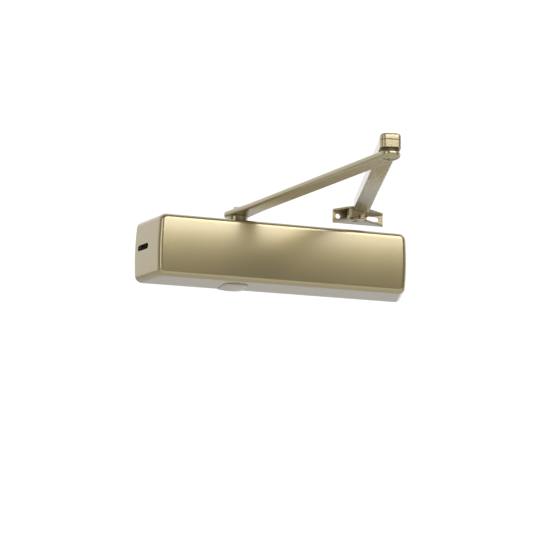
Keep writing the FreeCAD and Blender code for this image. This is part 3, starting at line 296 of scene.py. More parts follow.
def round_edges(form, radius, wanted, segments=6):
    """Rounds the edges that pass a test on their middle and direction."""
    edges = []
    for edge in form.edges:
        first, second = edge.verts[0].co, edge.verts[1].co
        if wanted((first + second) / 2, (second - first).normalized()):
            edges.append(edge)
    bmesh.ops.bevel(form, geom=edges, offset=radius, offset_type="OFFSET", affect="EDGES",
                    segments=segments, profile=0.5, material=-1, clamp_overlap=True)
    return form


def turn(form, angle, axis, centre=(0.0, 0.0, 0.0)):
    """Turns a form about an axis through a point."""
    bmesh.ops.rotate(form, cent=centre, matrix=Matrix.Rotation(angle, 3, axis), verts=form.verts[:])
    return form


def add_object(name, form):
    """Turns a bmesh into an object at the origin."""
    mesh = bpy.data.meshes.new(name)
    form.to_mesh(mesh)
    form.free()
    made = bpy.data.objects.new(name, mesh)
    bpy.context.scene.collection.objects.link(made)
    return made


def bake_modifiers(piece):
    """Applies a piece's modifiers to its mesh."""
    graph = bpy.context.evaluated_depsgraph_get()
    graph.update()
    mesh = bpy.data.meshes.new_from_object(piece.evaluated_get(graph))
    old = piece.data
    piece.modifiers.clear()
    piece.data = mesh
    mesh.name = piece.name
    bpy.data.meshes.remove(old)


def combine(piece, form, operation):
    """Joins or cuts a piece with another closed form."""
    tool = add_object("tool", form)
    boolean = piece.modifiers.new("combine", "BOOLEAN")
    boolean.operation = operation
    boolean.solver = "EXACT"
    boolean.object = tool
    bake_modifiers(piece)
    mesh = tool.data
    bpy.data.objects.remove(tool)
    bpy.data.meshes.remove(mesh)
    return piece


def cut(piece, form):
    """Cuts a closed form out of a piece."""
    return combine(piece, form, "DIFFERENCE")


def several(*forms):
    """Puts forms that don't touch into one bmesh."""
    whole = bmesh.new()
    for form in forms:
        mesh = bpy.data.meshes.new("part")
        form.to_mesh(mesh)
        form.free()
        whole.from_mesh(mesh)
        bpy.data.meshes.remove(mesh)
    return whole


def notch_form(radius, back, low, high):
    """A block round the spindle: half a drum in front and straight sides back to the door."""
    plan = trace((SPINDLE.x - radius, back), ("line", SPINDLE.x - radius, SPINDLE.y),
                 ("arc", SPINDLE.x, SPINDLE.y, 180), ("line", SPINDLE.x + radius, back))
    return thicken(plan, low, high)


def finish_piece(piece, body, slot, nodes, edge=0.00025):
    """Softens the sharp edges, shades the piece, dresses it, hangs it on its body and hides the frame parts that
    it stands in for.
    """
    tidy = bmesh.new()
    tidy.from_mesh(piece.data)
    bmesh.ops.remove_doubles(tidy, verts=tidy.verts[:], dist=DOUBLES * 5)
    bmesh.ops.dissolve_degenerate(tidy, dist=DOUBLES, edges=tidy.edges[:])
    tidy.to_mesh(piece.data)
    tidy.free()
    piece.data.shade_smooth()
    if edge > 0:
        soft = piece.modifiers.new("soft edges", "BEVEL")
        soft.width = edge
        soft.segments = 2
        soft.limit_method = "ANGLE"
        soft.angle_limit = SMOOTH_LIMIT
        soft.use_clamp_overlap = True
        soft.material = -1
        bake_modifiers(piece)
    piece.data.set_sharp_from_angle(angle=SHARP_LIMIT)
    weighted = piece.modifiers.new("even shading", "WEIGHTED_NORMAL")
    weighted.keep_sharp = True
    weighted.weight = 60
    piece.data.materials.clear()
    piece.data.materials.append(material(slot))
    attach(piece, body)
    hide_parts(*nodes)
    return piece


# --- shader maths ---
class Wire:
    """A node socket that takes part in arithmetic."""

    def __init__(self, tree, socket):
        self.tree = tree
        self.socket = socket

    def _maths(self, operation, other):
        return self.tree.node("ShaderNodeMath", {"operation": operation}, {0: self, 1: other})

    def __add__(self, other):
        return self._maths("ADD", other)

    __radd__ = __add__

    def __sub__(self, other):
        return self._maths("SUBTRACT", other)

    def __mul__(self, other):
        return self._maths("MULTIPLY", other)


class Tree:
    """The nodes of one material."""

    def __init__(self, name):
        self.material = bpy.data.materials.new(name)
        self.material.use_nodes = True
        self.nodes = self.material.node_tree.nodes
        self.links = self.material.node_tree.links
        self.nodes.clear()

    def node(self, kind, settings=None, inputs=None, output=0):
        """Adds a node: its settings first, then the values or links of its sockets."""
        made = self.nodes.new(kind)
        for name, value in (settings or {}).items():
            setattr(made, name, value)
        for key, value in (inputs or {}).items():
            if isinstance(value, Wire):
                self.links.new(value.socket, made.inputs[key])
            else:
                made.inputs[key].default_value = value
        return Wire(self, made.outputs[output]) if made.outputs else made

    def place(self, scale=(1.0, 1.0, 1.0)):
        """Object coordinates, stretched."""
        spot = self.node("ShaderNodeTexCoord", output="Object")
        return self.node("ShaderNodeMapping", inputs={"Vector": spot, "Scale": scale})

    def noise(self, scale, detail=3.0, stretch=(1.0, 1.0, 1.0)):
        """Noise about 0.5 on the piece."""
        return self.node("ShaderNodeTexNoise", inputs={"Vector": self.place(stretch), "Scale": scale,
                                                       "Detail": detail, "Roughness": 0.55})

    def blend(self, share, first, second):
        """A colour between two, by a share."""
        return self.node("ShaderNodeMix", {"data_type": "RGBA", "clamp_factor": True},
                         {0: share, 6: first, 7: second}, output=2)

    def bump(self, height, strength, distance):
        """Surface relief from a height."""
        return self.node("ShaderNodeBump", inputs={"Height": height, "Strength": strength,
                                                   "Distance": distance})

    def finish(self, **sockets):
        """The surface shader and the material's output."""
        names = {name.replace("_", " "): value for name, value in sockets.items()}
        surface = self.node("ShaderNodeBsdfPrincipled", inputs=names)
        self.node("ShaderNodeOutputMaterial", inputs={"Surface": surface})
        return self.material


def shade(colour, factor):
    """A colour made lighter or darker, with its alpha."""
    return tuple(min(1.0, channel * factor) for channel in colour) + (1.0,)


def champagne_paint(name, colour, flake, peel):
    """Satin metallic paint: fine flake, a faint cloudiness and the skin of a sprayed coat."""
    tree = Tree(name)
    cloud = tree.noise(14.0, detail=2.0)
    grain = tree.noise(5200.0, detail=1.0)
    share = 0.5 + (cloud - 0.5) * 0.45 + (grain - 0.5) * (flake * 6.0)
    paint = tree.blend(share, shade(colour, 0.90), shade(colour, 1.10))
    height = tree.noise(420.0, detail=1.5) * peel
    return tree.finish(Base_Color=paint, Metallic=0.76 + (grain - 0.5) * 0.1,
                       Roughness=0.29 + (cloud - 0.5) * 0.05, Specular_IOR_Level=0.5,
                       Coat_Weight=1.0, Coat_Roughness=0.19, Coat_IOR=1.75,
                       Normal=tree.bump(height, 0.05, 0.0002))


def cast_metal(colour):
    """Sand-cast body: grainy skin with darker hollows."""
    tree = Tree("cast body")
    lump = tree.noise(260.0, detail=5.0)
    patch = tree.noise(24.0, detail=3.0)
    skin = tree.blend(lump * 0.6 + patch * 0.4, shade(colour, 0.65), shade(colour, 1.45))
    return tree.finish(Base_Color=skin, Metallic=0.7, Roughness=0.52 + (patch - 0.5) * 0.25,
                       Normal=tree.bump(lump, 0.5, 0.0004))


def plated_steel(name, colour, dull, rough, stretch):
    """Plated or ground steel with fine machining lines."""
    tree = Tree(name)
    line = tree.noise(900.0, detail=2.0, stretch=stretch)
    patch = tree.noise(55.0, detail=3.0)
    metal = tree.blend(patch * 0.7 + line * 0.3, shade(colour, dull), shade(colour, 1.12))
    return tree.finish(Base_Color=metal, Metallic=1.0,
                       Roughness=rough + (patch - 0.5) * 0.16 + (line - 0.5) * 0.1,
                       Normal=tree.bump(line, 0.12, 0.00005))


def sintered_bronze(colour):
    """Porous bronze that holds oil."""
    tree = Tree("sintered bronze")
    pore = tree.node("ShaderNodeTexVoronoi", inputs={"Vector": tree.place(), "Scale": 2600.0})
    patch = tree.noise(140.0)
    metal = tree.blend(pore * 1.2 + (patch - 0.5) * 0.5, shade(colour, 0.45), shade(colour, 1.1))
    return tree.finish(Base_Color=metal, Metallic=0.95, Roughness=0.38 + (patch - 0.5) * 0.2,
                       Normal=tree.bump(pore, 0.25, 0.0001))


def seal_rubber(colour):
    """Matt moulded rubber."""
    tree = Tree("seal rubber")
    fine = tree.noise(1500.0, detail=2.0)
    dust = tree.noise(90.0)
    skin = tree.blend(dust, shade(colour, 0.8), shade(colour, 2.2))
    return tree.finish(Base_Color=skin, Metallic=0.0, Roughness=0.62 + (fine - 0.5) * 0.2,
                       Normal=tree.bump(fine, 0.15, 0.0001))


def washer_plastic():
    """Dark filled plastic of the bearing washers."""
    tree = Tree("bearing plastic")
    fleck = tree.noise(1900.0, detail=1.0)
    skin = tree.blend(fleck, (0.07, 0.048, 0.022, 1.0), (0.13, 0.092, 0.042, 1.0))
    return tree.finish(Base_Color=skin, Metallic=0.0, Roughness=0.5 + (fleck - 0.5) * 0.25,
                       Normal=tree.bump(fleck, 0.2, 0.00008))


def pale_floor():
    """Plain pale studio floor."""
    tree = Tree("pale floor")
    soft = tree.noise(3.0)
    skin = tree.blend(soft, (0.78, 0.78, 0.77, 1.0), (0.82, 0.82, 0.81, 1.0))
    return tree.finish(Base_Color=skin, Roughness=0.85, Specular_IOR_Level=0.2)


MADE = {}


def material(name):
    """Each finish is made once, when a piece first asks for it."""
    if name not in MADE:
        looks = bpy.context.scene.closer_finishes
        makers = {
            "painted_cover": lambda: champagne_paint("painted cover", looks.champagne, looks.flake, 0.35),
            "painted_arm": lambda: champagne_paint("painted arm", looks.champagne, looks.flake, 0.2),
            "cast_body": lambda: cast_metal(looks.cast_metal),
            "zinc_steel": lambda: plated_steel("zinc plate", looks.zinc, 0.72, 0.34, (1, 1, 1)),
            "ground_steel": lambda: plated_steel("ground steel", looks.ground, 0.8, 0.26, (0.05, 1, 1)),
            "bearing_steel": lambda: plated_steel("bearing steel", looks.ground, 0.9, 0.16, (1, 1, 0.05)),
            "spring_steel": lambda: plated_steel("spring steel", looks.spring, 0.6, 0.4, (1, 1, 1)),
            "black_oxide": lambda: plated_steel("black oxide", looks.oxide, 0.7, 0.42, (1, 1, 1)),
            "bronze": lambda: sintered_bronze(looks.bronze),
            "seal_rubber": lambda: seal_rubber(looks.rubber),
            "bearing_washer": washer_plastic,
            "floor": pale_floor,
        }
        MADE[name] = makers[name]()
    return MADE[name]


# --- operators: the pieces ---
class CLOSER_OT_cover(bpy.types.Operator):
    """Builds the one-piece cover with its notches and key openings"""
    bl_idname = "closer.cover"
    bl_label = "Cover"

    def execute(self, context):
        sizes = context.scene.closer_cover
        half_length = COVER_HIGH.x
        depth = -COVER_LOW.y
        half_height = COVER_HIGH.z
        form = box_form((-half_length, -depth, -half_height), (half_length, 0.0, half_height))
        front = [vert for vert in form.verts if vert.co.y < -depth / 2]
        bmesh.ops.scale(form, vec=((half_length - sizes.end_taper) / half_length, 1, 1), verts=front)
        form.normal_update()
        back = [face for face in form.faces if face.normal.y > 0.9]
        bmesh.ops.delete(form, geom=back, context="FACES_ONLY")
        round_edges(form, sizes.end_radius, lambda middle, run: abs(run.y) > 0.9, segments=10)
        round_edges(form, sizes.front_radius, lambda middle, run: middle.y < -depth + NEAR, segments=8)
        rows = 11
        for row in range(rows):
            level = (half_height - sizes.end_radius) * (2 * row / (rows - 1) - 1) * 0.98
            split(form, (0, 0, level), (0, 0, 1))
        for vert in form.verts:
            fall = (vert.co.z / half_height) ** 2
            vert.co.x *= 1 - fall * sizes.end_crown / half_length
            vert.co.y *= 1 - fall * sizes.front_crown / depth
        face_out(form)
        piece = add_object("cover_pressing", form)
        wall = piece.modifiers.new("wall", "SOLIDIFY")
        wall.thickness = sizes.wall
        wall.offset = -1.0
        wall.use_even_offset = True
        bake_modifiers(piece)
        cut(piece, self.openings(sizes, half_length, depth, half_height))
        finish_piece(piece, "cover", "painted_cover", ["cover_shell"], edge=0.0003)
        return {"FINISHED"}

    @staticmethod
    def openings(sizes, half_length, depth, half_height):
        """Cutters for the two spindle notches, the oblong and the round key opening."""
        radius = sizes.notch_radius
        notches = [notch_form(radius, PAST, low, low + 2 * sizes.wall + PAST)
                   for low in (half_height - 2 * sizes.wall, -half_height - PAST)]
        end = (sizes.slot_length - sizes.slot_height) / 2
        half = sizes.slot_height / 2
        oblong = trace((half, -end), ("line", half, end), ("arc", 0, end, 180), ("line", -half, -end),
                       ("arc", 0, -end, 180))
        thicken(oblong, -0.014, 0.014)
        turn(oblong, math.pi / 2, "Y")
        turn(oblong, math.atan(sizes.end_taper / depth), "Z")
        wall_place = -half_length + sizes.end_taper * sizes.slot_depth / depth
        shift(oblong, wall_place, -sizes.slot_depth, sizes.slot_level)
        key_hole = drum_form(sizes.key_hole_radius, (0, 0), -0.015, 0.015, segments=40)
        turn(key_hole, math.pi / 2, "Y")
        shift(key_hole, half_length - 0.005, SPINDLE.y)
        return several(*notches, oblong, key_hole)


class CLOSER_OT_cap(bpy.types.Operator):
    """Builds the crowned cap that closes the lower spindle notch"""
    bl_idname = "closer.cap"
    bl_label = "Spindle Cap"

    def execute(self, context):
        sizes = context.scene.closer_cover
        radius = (CAP_HIGH.x - CAP_LOW.x) / 2
        cover_under = COVER_LOW.z
        door_gap = CAP_HIGH.y
        nose_slope = 0.0022
        form = bmesh.new()
        bmesh.ops.create_circle(form, cap_ends=True, radius=radius, segments=72)
        split(form, (0, 0, 0), (0, 1, 0), drop=True)
        open_edges = [edge for edge in form.edges if all(abs(v.co.y) < DOUBLES for v in edge.verts)]
        made = bmesh.ops.extrude_edge_only(form, edges=open_edges)
        moved = verts_in(made["geom"])
        bmesh.ops.translate(form, vec=(0, door_gap - SPINDLE.y, 0), verts=moved)
        made = bmesh.ops.extrude_face_region(form, geom=form.faces[:])
        lowered = verts_in(made["geom"])
        bmesh.ops.translate(form, vec=(0, 0, -sizes.cap_edge), verts=lowered)
        self.crown(form, radius, sizes, nose_slope)
        face_out(form)
        shift(form, SPINDLE.x, SPINDLE.y, cover_under)
        piece = add_object("spindle_cap", form)
        rim = sizes.cap_rim
        hollow = rim - 0.0015
        collar = notch_form(rim, door_gap, cover_under - 0.0003, cover_under + 0.002)
        combine(piece, collar, "UNION")
        inside = notch_form(hollow, PAST, cover_under - 0.0005, cover_under + 0.003)
        cut(piece, inside)
        finish_piece(piece, "cover", "painted_cover", ["pinion_cap"], edge=0.0002)
        return {"FINISHED"}

    @staticmethod
    def crown(form, radius, sizes, nose_slope):
        """Cuts the underside into strips and lowers them to the crown, with a sloping nose."""
        form.normal_update()
        low = min(vert.co.z for vert in form.verts)
        strips = 9
        planes = [((radius * (2 * (i + 1) / strips - 1) * 0.97, 0, 0), (1, 0, 0)) for i in range(strips - 1)]
        planes += [((0, -radius + nose_slope * k, 0), (0, 1, 0)) for k in (0.5, 1.0, 1.5, 2.0, 3.0)]
        for place, normal in planes:
            under = [face for face in form.faces if all(abs(v.co.z - low) < DOUBLES for v in face.verts)]
            rims = list({edge for face in under for edge in face.edges})
            geom = under + rims + list({vert for face in under for vert in face.verts})
            bmesh.ops.bisect_plane(form, geom=geom, dist=DOUBLES, plane_co=place, plane_no=normal)
        under = [vert for vert in form.verts if abs(vert.co.z - low) < DOUBLES]
        for vert in under:
            across = vert.co.x / radius
            from_edge = radius - (vert.co.xy.length if vert.co.y < 0 else abs(vert.co.x))
            nose = min(1.0, max(0.0, from_edge) / nose_slope) if vert.co.y < 0 else 1.0
            nose = nose * nose * (3 - 2 * nose)
            vert.co.z -= (sizes.cap_drop - sizes.cap_edge) * max(0.0, 1 - across * across) * nose


class CLOSER_OT_main_arm(bpy.types.Operator):
    """Builds the main arm with its eye and hub"""
    bl_idname = "closer.main_arm"
    bl_label = "Main Arm"

    def execute(self, context):
        sizes = context.scene.closer_arms
        top = ARM_HIGH.z
        under = top - sizes.thickness
        hub_low = ARM_LOW.z
        reach = ARM_RUN.length
        half, eye = sizes.half_width, sizes.eye_radius
        centre = -sizes.eye_reach
        lean = math.asin((eye - half) / (sizes.flare - centre))
        eye_x, eye_y = centre + eye * math.sin(lean), eye * math.cos(lean)
        bar_x, bar_y = sizes.flare + half * math.sin(lean), half
        bar = trace((bar_x, bar_y), ("line", reach, half), ("arc", reach, 0, -180), ("line", bar_x, -bar_y),
                    ("line", eye_x, -eye_y), ("arc", centre, 0, -(180 + 2 * math.degrees(lean))))
        thicken(bar, under, top)
        round_edges(bar, sizes.edge, lambda middle, run: abs(run.z) < 0.1, segments=6)
        face_out(bar)
        piece = add_object("main_arm_forging", self.put(bar))
        hub = sizes.hub_radius
        skirt = 0.0012
        profile = [(0, hub_low), (hub - 0.0008, hub_low), (hub, hub_low + 0.0008), (hub, under - skirt),
                   (hub + 0.0003, under - skirt * 0.45), (hub + 0.0009, under + 0.0002), (0, under + 0.0012)]
        combine(piece, self.put(lathe(profile, (0, 0))), "UNION")
        square, square_top = 0.00625, 0.0347
        socket = box_form((-square, -square, hub_low - PAST), (square, square, square_top))
        cut(piece, self.put(socket))
        screw_hole = 0.0033
        cut(piece, self.put(drum_form(screw_hole, (0, 0), hub_low, top + PAST)))
        pin, head = 0.00403, 0.00675
        seat = [(0, under - PAST), (head, under - PAST), (head, under + 0.002), (pin, under + 0.002),
                (pin, top + PAST), (0, top + PAST)]
        cut(piece, self.put(lathe(seat, (reach, 0))))
        finish_piece(piece, "main_arm_assembly", "painted_arm", ["main_arm"])
        return {"FINISHED"}

    @staticmethod
    def put(form):
        """From the arm's own frame to its place on the spindle."""
        turn(form, ARM_ANGLE, "Z")
        return shift(form, SPINDLE.x, SPINDLE.y)


FOREARM_FOOT = Vector((0.0976, -0.027))
FOREARM_RUN = FOREARM_FOOT - ELBOW.xy
FOREARM_ANGLE = math.atan2(FOREARM_RUN.y, FOREARM_RUN.x)
TONGUE_LOW, TONGUE_TOP = 0.0592, 0.0656
LUG_LOW, LUG_TOP = 0.0554, 0.0659
LUG_FRONT = SHOE_LOW.y - 0.0012
RECESS_LOW = 0.0544


def put_on_forearm(form):
    """From the forearm's own frame to its place at the elbow."""
    turn(form, FOREARM_ANGLE, "Z")
    return shift(form, ELBOW.x, ELBOW.y)


def elbow_block(sizes, back, back_half, low, high, top_round, low_round):
    """The rounded block round the elbow axis; its back can be narrower."""
    half = sizes.half_width
    form = box_form((-sizes.knuckle_front, -half, low), (back, half, high))
    rear = [vert for vert in form.verts if vert.co.x > 0]
    bmesh.ops.scale(form, vec=(1, back_half / half, 1), verts=rear)
    round_edges(form, sizes.knuckle_corner,
                lambda middle, run: abs(run.z) > 0.99 and middle.x < 0, segments=9)
    for level, radius in ((high, top_round), (low, low_round)):
        round_edges(form, radius, segments=6, wanted=lambda middle, run:
                    abs(middle.z - level) < DOUBLES and middle.x < back - DOUBLES)
    face_out(form)
    return form


class CLOSER_OT_forearm(bpy.types.Operator):
    """Builds the forearm with its elbow tongue and shoe lug"""
    bl_idname = "closer.forearm"
    bl_label = "Forearm"

    def execute(self, context):
        sizes = context.scene.closer_arms
        half = sizes.forearm_half
        reach = FOREARM_RUN.length
        start = sizes.knuckle_back + sizes.seam
        low = KNUCKLE_LOW.z + 0.0007
        end_low = FOREARM_HIGH.z - sizes.forearm_thickness
        bar = trace((start, low), ("line", reach, end_low), ("line", reach, end_low + 0.0021),
                    ("line", reach - 0.008, FOREARM_HIGH.z), ("line", start, TONGUE_TOP - 0.0002))
        thicken(bar, -half, half)
        turn(bar, math.pi / 2, "X")
        round_edges(bar, sizes.forearm_edge, lambda middle, run: abs(run.x) > 0.99, segments=6)
        face_out(bar)
        piece = add_object("forearm_forging", put_on_forearm(bar))
        tongue = elbow_block(sizes, 0.030, half - 0.0003, TONGUE_LOW, TONGUE_TOP, 0.003, 0.0004)
        combine(piece, put_on_forearm(tongue), "UNION")
        combine(piece, self.lug(), "UNION")
        neck = box_form((-0.002, -half + 0.0012, end_low + 0.0004), (0.012, half - 0.0012, LUG_TOP))
        turn(neck, FOREARM_ANGLE, "Z")
        combine(piece, shift(neck, FOREARM_FOOT.x, FOREARM_FOOT.y), "UNION")
        recess_half, arch_level = 0.0034, 0.0576
        arch = trace((-recess_half, RECESS_LOW), ("line", recess_half, RECESS_LOW),
                     ("line", recess_half, arch_level), ("arc", 0, arch_level, 180))
        thicken(arch, 0.0, 0.0055)
        turn(arch, math.pi / 2, "X")
        cut(piece, shift(arch, SHOE_PIVOT.x, LUG_FRONT + 0.0036))
        bush_hole, hole_top = 0.0051, 0.0669
        cut(piece, drum_form(bush_hole, SHOE_PIVOT.xy, RECESS_LOW, hole_top))
        wide, deep = 0.0064, TONGUE_LOW + 0.0034
        pocket = [(0, TONGUE_LOW - PAST), (wide, TONGUE_LOW - PAST), (wide, deep), (0, deep)]
        cut(piece, lathe(pocket, ELBOW.xy))
        tapped = drum_form(0.0016, (0.010, 0), TONGUE_LOW - PAST, TONGUE_LOW + 0.004)
        cut(piece, put_on_forearm(tapped))
        finish_piece(piece, "forearm_assembly", "painted_arm", ["forearm"])
        return {"FINISHED"}

    @staticmethod
    def lug():
        """The lug between the shoe's flanges: round behind and flat in front."""
        radius, corner, front = 0.0094, 0.003, LUG_FRONT
        x, y = SHOE_PIVOT.x, SHOE_PIVOT.y
        plan = trace((x - radius, y), ("line", x - radius, front + corner),
                     ("arc", x - radius + corner, front + corner, 90), ("line", x + radius - corner, front),
                     ("arc", x + radius - corner, front + corner, 90), ("line", x + radius, y),
                     ("arc", x, y, 180))
        return thicken(plan, LUG_LOW, LUG_TOP)


class CLOSER_OT_knuckle(bpy.types.Operator):
    """Builds the elbow knuckle between the two arms"""
    bl_idname = "closer.knuckle"
    bl_label = "Elbow Knuckle"

    def execute(self, context):
        sizes = context.scene.closer_arms
        low, high = KNUCKLE_LOW.z, KNUCKLE_HIGH.z
        block = elbow_block(sizes, sizes.knuckle_back, sizes.half_width, low, high, 0.0006, 0.0006)
        piece = add_object("elbow_knuckle_forging", put_on_forearm(block))
        cut(piece, drum_form(0.0056, ELBOW.xy, low - PAST, high + PAST))
        head, shank, step = 0.0029, 0.0018, low + 0.0022
        stepped = [(0, low - PAST), (head, low - PAST), (head, step), (shank, step), (shank, high + PAST),
                   (0, high + PAST)]
        cut(piece, put_on_forearm(lathe(stepped, (0.010, 0), steps=32)))
        finish_piece(piece, "forearm_assembly", "painted_arm", ["elbow_knuckle"])
        return {"FINISHED"}


class CLOSER_OT_shoe(bpy.types.Operator):
    """Builds the folded frame shoe"""
    bl_idname = "closer.shoe"
    bl_label = "Frame Shoe"

    def execute(self, context):
        sizes = context.scene.closer_shoe
        low, high = SHOE_LOW.z, SHOE_HIGH.z
        nose = SHOE_LOW.y
        sheet, bend = sizes.sheet, sizes.bend
        inner = 0.0005
        channel = trace((nose, low), ("line", -bend, low), ("arc", -bend, low + bend, 90),
                        ("line", 0, high - bend), ("arc", -bend, high - bend, 90), ("line", nose, high),
                        ("line", nose, high - sheet), ("line", -sheet - inner, high - sheet),
                        ("arc", -sheet - inner, high - sheet - inner, -90),
                        ("line", -sheet, low + sheet + inner),
                        ("arc", -sheet - inner, low + sheet + inner, -90), ("line", nose, low + sheet))
        thicken(channel, SHOE_LOW.x, SHOE_HIGH.x)
        turn(channel, math.pi / 2, "X")
        turn(channel, math.pi / 2, "Z")
        lip = -sheet - 0.0006
        left, right = SHOE_PIVOT.x - sizes.nose_half, SHOE_PIVOT.x + sizes.nose_half
        for end, near in ((SHOE_LOW.x, left), (SHOE_HIGH.x, right)):
            run = Vector((near - end, nose - lip, 0.0))
            outward = Vector((run.y, -run.x, 0.0)) if end < near else Vector((-run.y, run.x, 0.0))
            made = split(channel, (end, lip, 0), outward, drop=True)
            rim = [item for item in made["geom_cut"] if isinstance(item, bmesh.types.BMEdge)]
            bmesh.ops.holes_fill(channel, edges=rim, sides=0)
        round_edges(channel, sizes.nose_corner,
                    lambda middle, run: abs(run.z) > 0.99 and middle.y < nose + NEAR, segments=6)
        face_out(channel)
        piece = add_object("frame_shoe_folded", channel)
        middle = (low + high) / 2
        radius = sizes.hole_radius
        place = SHOE_LOW.x + sizes.hole_place
        hole = drum_form(radius, (0, 0), -0.003, 0.006, segments=40)
        shift(turn(hole, math.pi / 2, "X"), place, 0, middle)
        reach = sizes.slot_length / 2 - radius
        slot = trace((-reach, -radius), ("line", reach, -radius), ("arc", reach, 0, 180),
                     ("line", -reach, radius), ("arc", -reach, 0, 180))
        thicken(slot, -0.003, 0.006)
        shift(turn(slot, math.pi / 2, "X"), SHOE_LOW.x + sizes.slot_place, 0, middle)
        pin = drum_form(0.00352, SHOE_PIVOT.xy, low - PAST, high + PAST)
        cut(piece, several(hole, slot, pin))
        finish_piece(piece, "shoe", "painted_arm", ["frame_shoe"])
        return {"FINISHED"}


class CLOSER_OT_fasteners(bpy.types.Operator):
    """Builds the arm screw and washer, the elbow pin and the shoe pin"""
    bl_idname = "closer.fasteners"
    bl_label = "Pins and Arm Screw"

    def execute(self, context):
        low, high = WASHER_LOW.z, WASHER_HIGH.z
        washer = [(0.0033, low), (0.0077, low), (0.008, low + 0.0003), (0.008, high - 0.0004),
                  (0.0076, high), (0.0033, high), (0.0033, low)]
        piece = add_object("arm_washer_turned", lathe(washer, SPINDLE.xy))
        finish_piece(piece, "main_arm_assembly", "painted_arm", ["arm_washer"], edge=0)

        base, top = SCREW_LOW.z, SCREW_HIGH.z
        head = [(0, base), (0.0026, base), (0.003, base + 0.0004), (0.003, high), (0.0049, high),
                (0.005, high + 0.0002), (0.005, top - 0.0008), (0.0047, top - 0.0002), (0.0042, top),
                (0, top)]
        piece = add_object("arm_screw_turned", lathe(head, SPINDLE.xy))
        socket = drum_form(0.0023, SPINDLE.xy, high + 0.0006, top + PAST, segments=6)
        cut(piece, socket)
        finish_piece(piece, "main_arm_assembly", "zinc_steel", ["arm_screw"], edge=0.0001)

        base, top = ELBOW_PIN_LOW.z, ELBOW_PIN_HIGH.z
        groove = TONGUE_LOW + 0.001
        disc, shank, neck, under = 0.0066, 0.004, 0.0032, base + 0.00185
        stud = [(0, base), (0.0061, base), (disc, base + 0.0005), (disc, under), (shank, under),
                (shank, groove), (neck, groove), (neck, groove + 0.0011), (shank, groove + 0.0011),
                (shank, top - 0.0003), (0.0037, top), (0, top)]
        piece = add_object("elbow_pin_turned", lathe(stud, ELBOW.xy))
        finish_piece(piece, "main_arm_assembly", "painted_arm", ["elbow_pin"], edge=0)

        base, top = SHOE_PIN_LOW.z, SHOE_PIN_HIGH.z
        under_head = SHOE_HIGH.z + 0.00002
        shank, disc = 0.0035, 0.0052
        rivet = [(0, base), (0.003, base), (shank, base + 0.0005), (shank, under_head), (disc, under_head),
                 (disc, top - 0.0009), (0.0049, top - 0.0003), (0.0043, top), (0, top)]
        piece = add_object("shoe_pin_turned", lathe(rivet, SHOE_PIVOT.xy))
        finish_piece(piece, "shoe", "painted_arm", ["shoe_pin"], edge=0)
        return {"FINISHED"}


# node, its two corners, radius of the wire, turns
SPRINGS = (("outer_spring", OUTER_LOW, OUTER_HIGH, 0.0021, 11),
           ("inner_spring", INNER_LOW, INNER_HIGH, 0.0015, 15))


class CLOSER_OT_springs(bpy.types.Operator):
    """Winds the two closing springs with closed ends"""
    bl_idname = "closer.springs"
    bl_label = "Closing Springs"

    def execute(self, context):
        for node, low, high, wire, turns in SPRINGS:
            coil = (high.z - low.z) / 2 - wire
            piece = self.wind(node + "_wound", low.x + wire, high.x - wire, coil, wire, turns)
            finish_piece(piece, "closer_body", "spring_steel", [node], edge=0)
            piece.modifiers.clear()
            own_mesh(piece)
        return {"FINISHED"}

    @staticmethod
    def wind(name, start, end, coil, wire, turns):
        """A wire section spun along the axis, with a closed turn at each end."""
        form = bmesh.new()
        bmesh.ops.create_circle(form, cap_ends=False, radius=wire, segments=12)
        shift(turn(form, math.pi / 2, "X"), coil, 0)
        turn(form, math.pi / 2, "Y")
        shift(form, start, SPINDLE.y)
        steps = 30
        dead = 2 * wire * 0.9
        live = (end - start - 2 * dead) / (turns - 2)
        section = form.edges[:]
        for count, pitch in ((1, dead), (turns - 2, live), (1, dead)):
            made = bmesh.ops.spin(form, geom=section, cent=(0, SPINDLE.y, 0), axis=(1, 0, 0),
                                  dvec=(pitch / steps, 0, 0), angle=2 * math.pi * count, steps=steps * count,
                                  use_merge=False, use_duplicate=False)
            section = [item for item in made["geom_last"] if isinstance(item, bmesh.types.BMEdge)]
        rim = [edge for edge in form.edges if edge.is_boundary]
        bmesh.ops.holes_fill(form, edges=rim, sides=0)
        face_out(form)
        return add_object(name, form)


class CLOSER_OT_inner_parts(bpy.types.Operator):
    """Gives every remaining frame part the finish that the record names"""
    bl_idname = "closer.inner_parts"
    bl_label = "Inner Part Finishes"

    def execute(self, context):
        for part in frame["record"]["subparts"]:
            node = frame["nodes"][part["node"]]
            node.data.materials.clear()
            node.data.materials.append(material(part["material_slot"]))
        return {"FINISHED"}


FLOOR_RADIUS = 9.0
FLOOR_DROP = 0.55  # floor below the lowest point of the object
LIGHT_AIM = (0.0, -0.05, 0.0)
CAMERA_AIM = (-0.00405, -0.030, -0.01968)
SENSOR_WIDTH = 36.0  # millimetres


